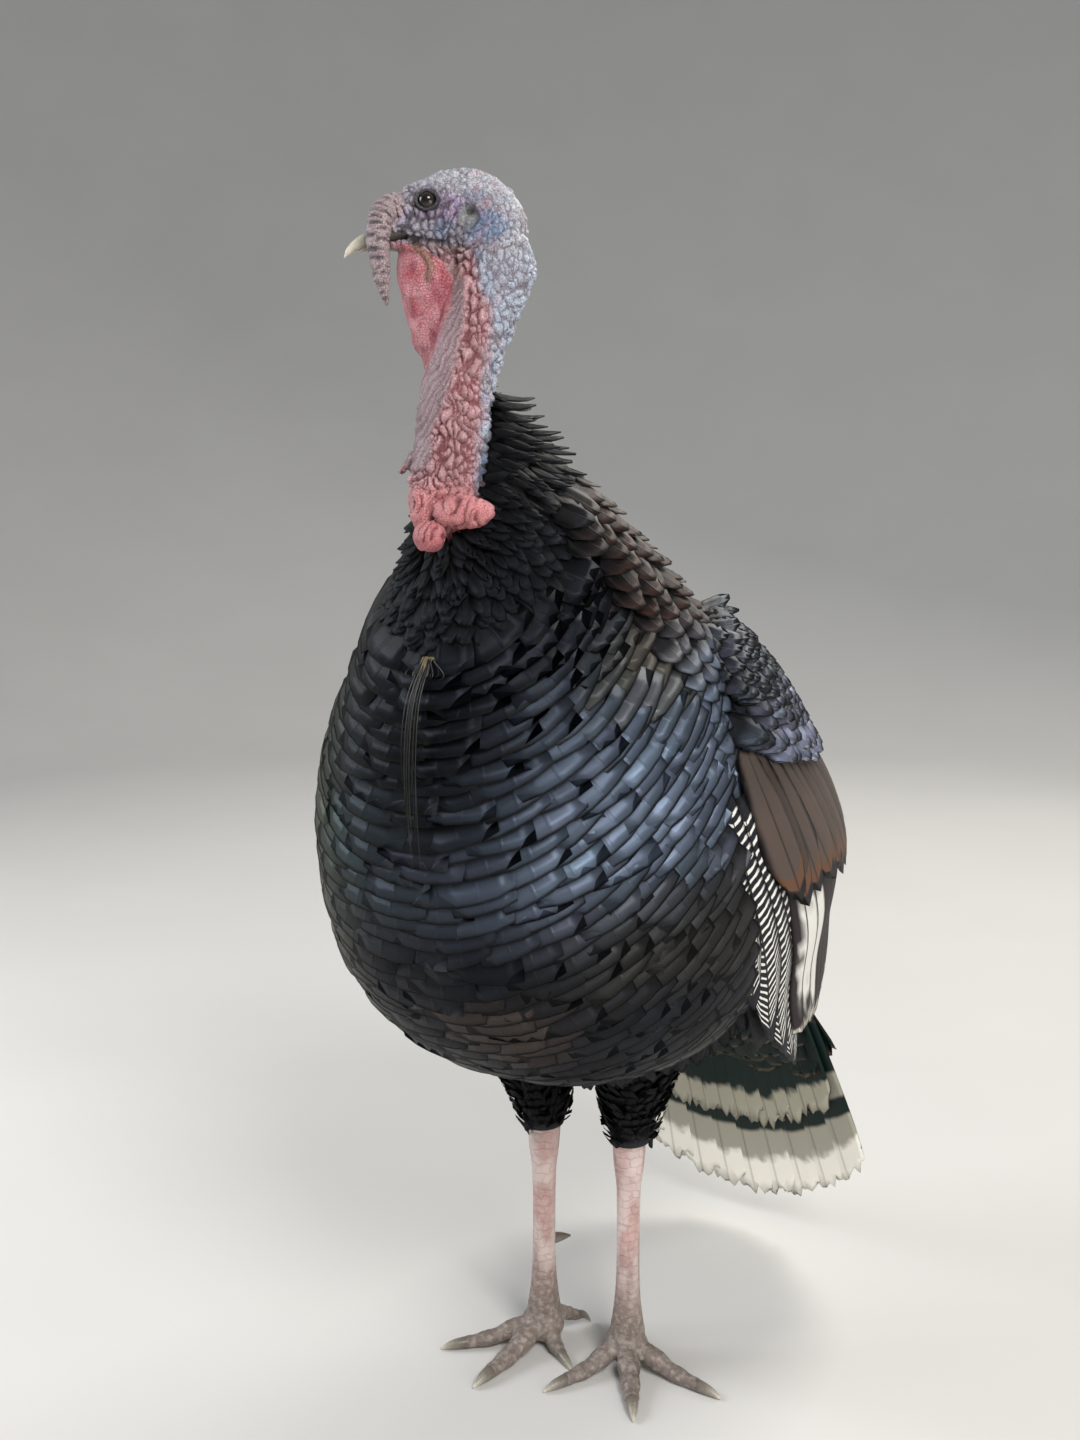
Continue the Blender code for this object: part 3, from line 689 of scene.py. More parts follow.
def markings(points):
    """Plumage colour by place: black, a painted steel-blue sheen on each breast, bronze above it, copper and slate
    behind.

    Each colour takes over from the one before it inside a soft ball or band of the body. The angle is measured
    round the body from the keel, and is the same on both sides but for the painted sheen, teal on the right breast.
    """
    c = palette()
    x, y, z = columns(points - SHIFT)
    left = np.arctan2(x - 0.01, -(y - 0.02))
    side = np.abs(left)
    # painted sheen: the steel blue, teal on the right breast, that the iridescent breast shows in the light
    breast_sheen = ease(0.0, 0.6, side + 2.4 * (0.57 - z)) * ease(0.44, 0.52, z) * ease(0.7, 0.62, z)
    bronze = ease(0.032, 0.0, norm(stacked((np.abs(x) - 0.078, (y + 0.1) * 0.6, z - 0.615))) - 0.024)
    down = ease(0.055, 0.02, norm(stacked((x - 0.045, (z - 0.388) * 1.2)))) * ease(0.02, -0.04, y)
    return layered(
        np.broadcast_to(c.night, points.shape),
        (blend(c.breast, c.green, ease(0.1, -0.3, left)), breast_sheen),
        (c.umber, 0.8 * ease(0.52, 0.47, z) * ease(0.39, 0.44, z) * ease(0.15, 0.6, side)),
        (c.bronze, 0.85 * bronze),
        (c.bronze, 0.85 * ease(-0.15, -0.65, left) * ease(0.34, 0.42, z) * ease(0.74, 0.66, z)),
        (c.copper, ease(0.63, 0.67, z) * ease(-0.15, -0.1, y) * ease(0.79, 0.74, z)),
        (c.slate, ease(0.02, 0.1, y) * ease(0.4, 0.48, z)),
        (c.down, 0.8 * down),
    )


def skin_colours(points, height):
    """Skin colour by place: lilac head, blue by the ear, white crown, coral throat, pink neck paler behind.

    Crevices between the bumps, where height is low, and a ring round each eye get painted shade: dark on the head, dark
    red on the neck and lobes.
    """
    c = palette()
    q = to_head(points)
    _, y, z = columns(q)
    p = points - SHIFT
    front, rear = neck_zones(q, points)
    cloud = soft_noise(points, 0.016, 5)
    fine = soft_noise(points, 0.005, 8)
    patch = soft_noise(points, 0.01, 15)
    mottle = soft_noise(points * (1, 1, 0.6), 0.0042, 16)
    rosy = ease(0.05, 0.6, -mottle)
    snood, _ = snood_share(q)
    lilac = ease(0.018, 0.007, norm((q - (0, -0.004, 0.001)) * (0.2, 1.0, 1.3)))
    blue = ease(0.018, 0.006, norm((q - (0, 0.021, -0.01)) * (0.2, 0.9, 1.2)))
    cheek = ease(0.012, 0.004, norm((q - (0, -0.009, -0.011)) * (0.2, 1.0, 1.2)))
    neck = layered(
        blend(c.neck, c.nape, rear),
        (c.mauve, 0.45 * rear * ease(0.0, 0.7, -patch)),
        (c.neck, 0.45 * rear * rosy * ease(0.036, 0.022, y)),
        (c.ear, 0.55 * rear * ease(0.0, 0.6, patch) * ease(0.034, 0.018, y)),
    )
    throat = blend(c.coral, c.coral_pale, ease(-0.5, 0.7, 0.5 * patch + 0.6 * mottle))
    throat = blend(throat, c.mauve, 0.2 * rosy)
    throat = throat * (1 - ease(0.0, 0.5, throat_grain(points))[:, None] * (0.22, 0.42, 0.34))
    lobes = ease(0.74, 0.724, p[..., 2]) * ease(-0.172, -0.186, p[..., 1])
    lobe = blend(c.salmon, c.coral, np.maximum(0.6 * ease(0.704, 0.698, p[..., 2]), ease(-0.1, 0.7, mottle) * 0.5))
    jaw = np.exp(-(((mouth_line(q) + 0.003) / 0.0022) ** 2)) * ease(-0.034, -0.026, y) * ease(0.012, 0.002, y)
    tone = layered(
        blend(c.face, c.crown, np.maximum(ease(0.008, 0.02, z + 0.15 * y), ease(0.02, 0.034, y))),
        (c.lilac_skin, 0.9 * lilac),
        (c.ear, np.maximum(0.9 * blue, 0.6 * cheek)),
        (c.shadow, 0.8 * ease(0.0112, 0.0084, eye_distance(q))),
        (c.ear, 0.35 * ease(0.1, 0.6, patch) * ease(0.0, 0.015, y)),
        (c.mauve, 0.5 * ease(0.1, 0.7, mottle)),
        (c.neck, 0.4 * rosy * ease(0.004, 0.014, y) * ease(0.034, 0.022, y)),
        (c.lilac_skin, 0.35 * ease(0.1, 0.6, -patch) * ease(-0.02, 0.0, z)),
        (neck, ease(-0.018, -0.034, z)),
        (c.mauve, front * ease(0.735, 0.75, p[..., 2])),
        (c.curl, 0.45 * ease(0.01, 0.004, np.abs(z + 0.036)) * ease(0.006, 0.0, np.abs(y - 0.001))),
        (c.curl, 0.6 * jaw),
        (throat, coral_share(q) * (1 - snood)),
        (lobe, lobes),
        (blend(c.snood, c.mauve, ease(-0.2, 0.6, mottle)), snood),
        (c.curl, 0.8 * ease(0.0022, 0.0008, curl_distance(q))),
    )
    # painted shade: low places of the relief are darkened, to dark red on the neck and lobes
    crevice = ease(-0.08, -0.9, height) * (1 - 0.4 * ease(0.002, 0.018, z + 0.15 * y) - 0.25 * rear)
    red_shade_share = np.clip(ease(-0.016, -0.036, z) * (1 - 0.7 * rear) + lobes, 0, 1) * (1 - snood)
    tone = blend(tone, tone * 0.1 + blend(c.shadow, c.shade_red, red_shade_share) * 0.9, 0.96 * crevice)
    return np.clip(tone * (1 + 0.1 * cloud + 0.08 * fine)[..., None], 0, 1)


def throat_grain(points):
    """Streaks that run down the throat, from -1 to 1."""
    return soft_noise(points * (1, 1, 0.45), 0.0034, 52)


def folded(q):
    """Points of the head with its right side laid over its left."""
    return np.concatenate([np.abs(q[..., :1]), q[..., 1:]], -1)


def eye_distance(q):
    """How far a point of the head is from the middle of the nearer eye."""
    return norm(folded(q) - EYE_PLACE)


def curl_distance(q):
    """How far a point is from the loose brown fold that hangs from the corner of the mouth, on either side."""
    line = spline(MOUTH_CURL, np.linspace(0, 3, 16))[:, :3]
    return norm(folded(q)[:, None, :] - line).min(1) - 0.0012


# ------ node groups and materials
class Nodes:
    """Short words for building a node tree: each call adds one node and returns its output."""

    def __init__(self, tree, shader=None):
        self.tree = tree
        self.shader = shader

    def fill(self, node, values):
        """Sets or links a node's sockets by name, with _ for a space, or by number after an i."""
        for key, value in values.items():
            socket = node.inputs[int(key[1:]) if key[0] == "i" and key[1:].isdigit() else key.replace("_", " ")]
            if isinstance(value, bpy.types.NodeSocket):
                self.tree.links.new(value, socket)
            else:
                socket.default_value = value

    def put(self, kind, out=0, settings=None, **values):
        node = self.tree.nodes.new(kind)
        for key, value in (settings or {}).items():
            setattr(node, key, value)
        self.fill(node, values)
        return node.outputs[out]

    def use(self, group, **values):
        """Adds a node group and returns all its outputs."""
        node = self.tree.nodes.new("ShaderNodeGroup")
        node.node_tree = group
        self.fill(node, values)
        return node.outputs

    def shade(self, height=None, distance=0.0, strength=0.6, **values):
        """Links or sets the shader's own sockets, and its normal from a height."""
        self.fill(self.shader, values)
        if height is not None:
            bump = self.put("ShaderNodeBump", Strength=strength, Distance=distance, Height=height)
            self.fill(self.shader, {"Normal": bump})

    def math(self, operation, *values):
        inputs = {f"i{number}": value for number, value in enumerate(values)}
        return self.put("ShaderNodeMath", settings={"operation": operation}, **inputs)

    def sum(self, a, b):
        return self.math("ADD", a, b)

    def less(self, a, b):
        return self.math("SUBTRACT", a, b)

    def times(self, a, b):
        return self.math("MULTIPLY", a, b)

    def away(self, value):
        """How far a value is from a half."""
        return self.math("ABSOLUTE", self.less(value, 0.5))

    def ramp(self, value, low, high, start=0.0, end=1.0):
        return self.put("ShaderNodeMapRange", settings={"interpolation_type": "SMOOTHSTEP"},
                        i0=value, i1=low, i2=high, i3=start, i4=end)

    def mix(self, share, a, b, way="MIX"):
        return self.put("ShaderNodeMix", 2, {"data_type": "RGBA", "blend_type": way}, i0=share, i6=a, i7=b)

    def stained(self, share, colour, stain):
        """The colour multiplied by a stain as far as the share says."""
        return self.mix(share, colour, self.mix(1.0, colour, (*stain, 1), "MULTIPLY"))

    def attribute(self, name, out=0):
        return self.put("ShaderNodeAttribute", out, {"attribute_name": name})

    def cloud(self, scale, detail, **values):
        """Noise in the object's own place."""
        place = self.put("ShaderNodeTexCoord", 3)
        return self.put("ShaderNodeTexNoise", i0=place, Scale=scale, Detail=detail, **values)

    def vane(self):
        """The place along a vane and how far it is from the vane's middle, from the map Vane."""
        uv = self.put("ShaderNodeUVMap", settings={"uv_map": "Vane"})
        x, y, _ = self.put("ShaderNodeSeparateXYZ", i0=uv).node.outputs
        return y, self.away(x)


def shader_group(name, inputs, outputs, build):
    """A node group with named sockets, built once: build gets its nodes and inputs and returns its outputs."""
    tree = bpy.data.node_groups.get(name)
    if tree:
        return tree
    tree = bpy.data.node_groups.new(name, "ShaderNodeTree")
    for label, kind, default in inputs:
        socket = tree.interface.new_socket(label, in_out="INPUT", socket_type=f"NodeSocket{kind}")
        socket.default_value = default
    for label, kind in outputs:
        tree.interface.new_socket(label, in_out="OUTPUT", socket_type=f"NodeSocket{kind}")
    given, taken = tree.nodes.new("NodeGroupInput"), tree.nodes.new("NodeGroupOutput")
    results = build(Nodes(tree), given.outputs)
    for label, _ in outputs:
        tree.links.new(results[label], taken.inputs[label])
    return tree


def floats(**defaults):
    """Number sockets of a group, by name with _ for a space."""
    return tuple((name.replace("_", " "), "Float", value) for name, value in defaults.items())


def vane_pattern():
    """Barbs, shaft, dark edge, painted root shade and pale tip of a feather, from its map across and along the vane."""

    def build(n, given):
        along, across = n.vane()
        cloud = n.cloud(60.0, 2.0)
        slant = n.less(along, n.times(across, 0.55))
        barb = n.put("ShaderNodeTexWave", 1, {"bands_direction": "X"}, Scale=given["Barbs"], Distortion=0.6,
                     i0=n.put("ShaderNodeCombineXYZ", i0=slant, i1=cloud, i2=0.0))
        shaft = n.ramp(across, 0.012, 0.034, 1.0, 0.0)
        wavy = n.times(n.less(cloud, 0.5), given["Fray"])
        # partly painted shadow: the dark rim is partly the feather's own black end band and partly shadow below its
        # raised end
        rim = n.math("MAXIMUM", n.ramp(n.sum(across, wavy), given["Side edge"], 0.5),
                     n.ramp(n.sum(along, wavy), given["End edge"], 1.0))
        tip = n.ramp(n.sum(along, wavy), given["Tip start"], n.sum(given["Tip start"], 0.04))
        colour = n.stained(n.times(barb, 0.25), given["Tint"], (0.45, 0.45, 0.45))
        # painted shade: Fade darkens each feather towards its root, where the row above it lies
        root_shade = n.times(n.ramp(along, given["Fade from"], given["Fade to"], 1.0, 0.0), given["Fade"])
        colour = n.mix(root_shade, colour, given["Edge"])
        colour = n.mix(tip, colour, given["Tip"])
        colour = n.mix(n.times(rim, given["Edge share"]), colour, given["Edge"])
        colour = n.mix(n.times(shaft, given["Shaft share"]), colour, given["Shaft"])
        height = n.sum(n.times(barb, 0.35), shaft)
        return {"Color": colour, "Height": height, "Rim": n.math("MAXIMUM", rim, tip)}

    inputs = (("Tint", "Color", (0.05, 0.05, 0.06, 1)), ("Edge", "Color", (0.004, 0.004, 0.005, 1)),
              ("Tip", "Color", (0.8, 0.78, 0.7, 1)), ("Shaft", "Color", (0.01, 0.01, 0.01, 1)))
    inputs += floats(Barbs=26.0, Fray=0.06, Side_edge=0.4, End_edge=0.86, Edge_share=1.0, Tip_start=2.0,
                     Shaft_share=0.5, Fade=0.85, Fade_from=0.56, Fade_to=0.9)
    return shader_group("Vane pattern", inputs, (("Color", "Color"), ("Height", "Float"), ("Rim", "Float")), build)


def stripes():
    """Cross bars along a feather: a square wave of its length with a ragged edge, between two places."""

    def build(n, given):
        along, across = n.vane()
        ragged = n.times(n.less(n.cloud(180.0, 3.0), 0.5), given["Ragged"])
        slant = n.sum(n.sum(along, n.times(across, given["Slant"])), ragged)
        phase = n.math("FRACT", n.times(slant, given["Count"]))
        half = n.times(given["Width"], 0.5)
        bar = n.ramp(n.away(phase), half, n.sum(half, 0.06), 1.0, 0.0)
        begun = n.ramp(along, given["From"], n.sum(given["From"], 0.02))
        over = n.ramp(along, n.less(given["To"], 0.02), given["To"], 1.0, 0.0)
        return {"Mask": n.times(bar, n.times(begun, over))}

    inputs = floats(Count=10.0, Width=0.5, Slant=0.2, Ragged=0.05, From=0.0, To=1.0)
    return shader_group("Bars", inputs, (("Mask", "Float"),), build)


def wrinkles():
    """Fine creases of bare skin: two sizes of noise and a net of cracks, as one height."""

    def build(n, given):
        big = n.cloud(given["Scale"], 4.0, Roughness=0.6)
        net = n.put("ShaderNodeTexVoronoi", 0, {"feature": "DISTANCE_TO_EDGE"}, i0=n.put("ShaderNodeTexCoord", 3),
                    Scale=n.times(given["Scale"], 1.6))
        crack = n.ramp(net, 0.0, 0.12)
        return {"Height": n.sum(n.times(big, 0.6), n.times(crack, 0.5)), "Crack": crack}

    return shader_group("Skin wrinkles", floats(Scale=500.0), (("Height", "Float"), ("Crack", "Float")), build)


def scutes():
    """Horny plates in a bond of bricks, along and round a leg, with dirt in the joints."""

    def build(n, given):
        bend = n.times(n.cloud(110.0, 1.0), 0.012)
        around, along = (n.sum(n.attribute(name, 2), bend) for name in ("Around", "Along"))
        place = n.put("ShaderNodeCombineXYZ", i0=around, i1=along, i2=0.0)
        brick = n.put("ShaderNodeTexBrick", 1, {"offset": 0.5}, Vector=place, Scale=1.0, Mortar_Size=given["Joint"],
                      Mortar_Smooth=0.6, Brick_Width=given["Width"], Row_Height=given["Height"])
        return {"Plate": n.less(1.0, brick), "Cloud": n.cloud(220.0, 4.0)}

    inputs = floats(Width=0.013, Height=0.0075, Joint=0.0006)
    return shader_group("Scutes", inputs, (("Plate", "Float"), ("Cloud", "Float")), build)


def new_material(name, roughness, colour, **sockets):
    """A material's name and nodes; constants go straight onto its one shader's own sockets."""
    material = bpy.data.materials.new(name)
    material.use_nodes = True
    material.diffuse_color = (*colour, 1)
    n = Nodes(material.node_tree, material.node_tree.nodes["Principled BSDF"])
    n.shade(Roughness=roughness, Base_Color=(*colour, 1), **sockets)
    return material, n


def feather_material(name):
    """Feather finish: the tint, with bars where it has them, and barbs, shaft, a rim partly of painted shadow, painted
    root shade and tip.
    """
    roughness, metallic, across, pattern = FEATHERS[name]
    material, n = new_material(name, roughness, (0.05, 0.05, 0.06), Specular_IOR_Level=0.2)
    colour = n.attribute("Tint")
    for tone, sockets in across:
        colour = n.mix(n.use(stripes(), **sockets)["Mask"], colour, (*tone, 1))
    out = n.use(vane_pattern(), Tint=colour, **pattern)
    n.shade(out["Height"], 0.0004, Base_Color=out["Color"], Metallic=n.ramp(out["Rim"], 0.0, 1.0, metallic, 0.0))
    return material


def skin_material(name):
    """Bare skin: the tint with painted shade in a net of fine cracks, a little translucent."""
    material, n = new_material(name, 0.46, (0.5, 0.35, 0.36), Subsurface_Weight=0.06,
                               Subsurface_Radius=(0.004, 0.0015, 0.001), Subsurface_Scale=1.0)
    out = n.use(wrinkles(), Scale=340.0)
    # painted shade: the tint is darkened where the cracks of the wrinkles lie
    shade = n.stained(n.ramp(out["Crack"], 0.0, 0.9, 0.75, 0.0), n.attribute("Tint"), (0.42, 0.3, 0.36))
    n.shade(out["Height"], 0.0009, 0.9, Base_Color=shade)
    return material


def leg_material(name):
    """Scaled legs: the tint, pale in clouds of dust and painted highlight, with dirt between the plates."""
    material, n = new_material(name, 0.5, (0.5, 0.36, 0.32))
    out = n.use(scutes())
    # pale clouds, partly dust and partly painted highlight
    dust_and_highlight = n.mix(n.ramp(out["Cloud"], 0.4, 0.7, 0.0, 0.28), n.attribute("Tint"), (0.62, 0.56, 0.5, 1))
    shade = n.mix(n.times(n.ramp(out["Plate"], 0.0, 1.0, 1.0, 0.0), 0.2), dust_and_highlight, (0.13, 0.1, 0.085, 1))
    n.shade(n.sum(out["Plate"], n.times(out["Cloud"], 0.5)), 0.0006, Base_Color=shade)
    return material


def hide_material(name):
    """The skin that feathers cover: the plumage's colour at half brightness, painted shade between the feathers, dull
    and creased.
    """
    material, n = new_material(name, 0.8, (0.02, 0.02, 0.02))
    n.shade(n.use(wrinkles(), Scale=260.0)["Height"], 0.001, Base_Color=n.attribute("Tint"))
    return material


def horn_material(name):
    """Horn: the tint, that runs from root to tip, with darker clouds and a soft polish."""
    material, n = new_material(name, 0.38, (0.3, 0.26, 0.2), Coat_Weight=0.15)
    cloud = n.cloud(420.0, 4.0)
    shade = n.stained(n.ramp(cloud, 0.4, 0.7, 0.0, 0.4), n.attribute("Tint"), (0.5, 0.45, 0.4))
    n.shade(cloud, 0.0003, Base_Color=shade)
    return material


def eye_material(name):
    """A wet dark eye: the tint under a clear coat."""
    material, n = new_material(name, 0.12, (0.03, 0.018, 0.012), Coat_Weight=0.3, Specular_IOR_Level=0.35,
                               Coat_Roughness=0.03)
    n.shade(Base_Color=n.attribute("Tint"))
    return material


def bristle_material(name):
    """Coarse dark hair: the tint with darker clouds."""
    material, n = new_material(name, 0.42, (0.015, 0.013, 0.012))
    n.shade(Base_Color=n.stained(n.times(n.cloud(300.0, 2.0), 0.6), n.attribute("Tint"), (0.4, 0.35, 0.3)))
    return material


def finish(name):
    """The material of that name, made the first time it is asked for."""
    return bpy.data.materials.get(name) or FINISHES.get(name, feather_material)(name)


FINISHES = {"Bare skin": skin_material, "Leg scales": leg_material, "Feathered skin": hide_material,
            "Horn": horn_material, "Eye": eye_material, "Bristle": bristle_material}


def bars(tone, *values):
    """One set of bars across a feather: its colour and the sockets of its mask."""
    return tone, dict(zip(("Count", "Width", "Slant", "Ragged", "From", "To"), values))


def band(tone, *values):
    """One broad bar across a feather."""
    return bars(tone, 1.0, 1.0, *values)


# roughness, metallic, bars (colour, count, width, slant, raggedness, from, to) and the pattern's sockets
FEATHERS = {
    "Breast feather": (0.38, 0.65, (), dict(
        Side_edge=0.499, End_edge=0.935, Shaft_share=0.0, Fade=0.75, Fade_from=0.6, Fade_to=0.8)),
    "Mantle feather": (0.48, 0.6, (), dict(Shaft_share=0.2, Fade=0.9, End_edge=0.9)),
    "Down": (0.75, 0.1, (), dict(Side_edge=0.499, End_edge=0.999, Shaft_share=0.2)),
    "Hackle": (0.5, 0.6, (), dict(Shaft_share=0.1)),
    "Wing covert": (0.42, 0.7, (), dict(
        Side_edge=0.4, End_edge=0.88, Fade=0.85, Fade_from=0.45, Fade_to=0.72, Shaft_share=0.2)),
    "Great covert": (0.55, 0.05, (
        band((0.13, 0.06, 0.032), 0.15, 0.1, 0.83, 2.0),
        band((0.006, 0.005, 0.005), 0.25, 0.12, 0.92, 2.0),
    ), dict(Side_edge=0.3, End_edge=0.98, Edge_share=0.9, Fade=0.25, Fade_from=0.2, Fade_to=0.5, Shaft_share=0.7,
            Shaft=(0.02, 0.015, 0.012, 1), Fray=0.14)),
    "Barred flight feather": (0.55, 0.0, (
        bars((0.82, 0.8, 0.75), 31.0, 0.3, 0.04, 0.012, 0.05, 0.93),
    ), dict(Edge_share=1.0, Side_edge=0.4, End_edge=0.999, Shaft_share=1.0, Fade=0.0, Fray=0.15)),
    "Panelled flight feather": (0.55, 0.0, (), dict(
        Tip_start=0.945, Tip=(0.8, 0.76, 0.66, 1), Edge_share=1.0, Side_edge=0.46, End_edge=0.999, Fade=0.0,
        Shaft_share=0.9, Fray=0.1)),
    "Tail feather": (0.5, 0.1, (
        bars((0.1, 0.075, 0.05), 34.0, 0.45, 0.25, 0.03, 0.0, 0.4),
        band((0.34, 0.33, 0.27), 0.05, 0.02, 0.58, 0.7),
        band((0.42, 0.4, 0.33), 0.05, 0.05, 0.755, 0.9),
    ), dict(Tip_start=0.855, Tip=(0.95, 0.92, 0.83, 1), Edge_share=0.5, Side_edge=0.49, End_edge=0.999, Fade=0.0,
            Shaft_share=0.25)),
    "Inner tail feather": (0.5, 0.1, (
        bars((0.08, 0.065, 0.045), 30.0, 0.4, 0.25, 0.03, 0.0, 0.5),
    ), dict(Tip_start=0.84, Tip=(0.4, 0.38, 0.3, 1), Edge_share=0.5, Side_edge=0.49, End_edge=0.999, Fade=0.0,
            Shaft_share=0.3)),
    "Tail covert": (0.5, 0.3, (), dict(
        Tip_start=0.94, Tip=(0.16, 0.13, 0.085, 1), Edge_share=0.3, Shaft_share=0.1)),
}


# ------ skin
HEAD_VOXEL = 0.00117
LEG_VOXEL = 0.0017


def head_parts():
    """Tubes of the bare head and neck: neck, skull, throat lappet, snood and the lobes at the neck's foot."""
    neck = neck_surface(np.linspace(0, len(NECK_SECTIONS) - 1, 30)[:, None], turns(40)[None, :])
    stump = neck[:1] + (0.0, 0.012, -0.05)
    parts = [tube(np.concatenate([stump, neck]))]
    y, z, half_width, half_height = sampled(SKULL_SECTIONS, 30)
    centres = stacked((0.0, y, z))
    parts.append(tube(from_head(ellipse_rings(centres, (1, 0, 0), (0, 0, 1), half_width, half_height, 36, 2.1))))
    z, fore, back, half_width = sampled(WATTLE_SECTIONS, 30)
    centres = stacked((0.0, (fore + back) / 2, z))
    parts.append(tube(from_head(ellipse_rings(centres, (1, 0, 0), (0, 1, 0), half_width, (back - fore) / 2, 40, 2.4))))
    parts.append(tube(from_head(round_tube(SNOOD_LINE, 40, 20))))
    for centre, radii, degrees in CARUNCLES:
        parts.append(tube(ellipsoid_rings(np.array(centre) + SHIFT, radii, math.radians(degrees))))
    for sign in (1, -1):
        for line in (UPPER_LIP, LOWER_LIP, MOUTH_CURL):
            parts.append(tube(from_head(round_tube(np.array(line) * (sign, 1, 1, 1), 24, 16))))
    parts.append(tube(round_tube(NECK_NUB, 12, 14) + SHIFT))
    return parts


def snood_share(points):
    """How much of a point belongs to the snood: 1 within its tube, fading over a few millimetres, 0 at its root."""
    *line, radii = sampled(SNOOD_LINE, 40)
    away = norm(points[:, None, :] - stacked(line)) - radii
    nearest = away.argmin(1)
    return ease(0.0035, 0.0012, away.min(1)) * ease(2.0, 9.0, nearest), nearest / 39


def coral_share(q):
    """The bare coral skin under the bill: a tongue that narrows down the front of the neck."""
    _, y, z = columns(q)
    rear = np.interp(z, (-0.116, -0.102, -0.06, -0.04), (-0.026, -0.0205, -0.0045, -0.002))
    top = np.interp(y, (-0.042, -0.03, -0.02, -0.01, -0.002), (-0.018, -0.0205, -0.0245, -0.03, -0.041))
    return ease(0.002, -0.0008, y - rear) * ease(0.0008, -0.0012, z - top) * ease(-0.122, -0.112, z)


def neck_zones(q, points):
    """Shares of the bare neck: its smooth front, and its pale rear; what is left between them is knobbed."""
    _, y, z = columns(q)
    wander = 0.003 * soft_noise(points, 0.016, 43)
    fore = np.interp(z, (-0.178, -0.157, -0.108, -0.071, -0.045, -0.03),
                     (-0.026, -0.02, -0.004, 0.0035, 0.0035, 0.0))
    hind = np.interp(z, (-0.178, -0.157, -0.108, -0.071, -0.03), (0.013, 0.013, 0.015, 0.0205, 0.012))
    front = ease(0.0025, -0.0025, y - fore - wander) * ease(-0.026, -0.04, z)
    return front, ease(-0.005, 0.005, y - hind - wander)


def mouth_line(q):
    """Height above the gape, which runs back and down from the bill and then level to the cheek."""
    gape = np.interp(q[:, 1], (-0.044, -0.03, -0.018, -0.006, 0.0), (-0.0135, -0.0165, -0.019, -0.02, -0.0205))
    return q[:, 2] - gape


def knobs(points, warp, stretch, size, seed, rise):
    """Domes over warped cells: how far up its dome a point is, and how far it is from the crevice round it."""
    near, second = cells((points + warp) * (1.0, 1.0, stretch), size, seed)
    return ease(0.0, rise, second - near), second - near


def wound(phase, power):
    """Rounded ridges side by side, with narrow creases between them: a sine's size to a power below one."""
    return np.abs(np.sin(phase)) ** power


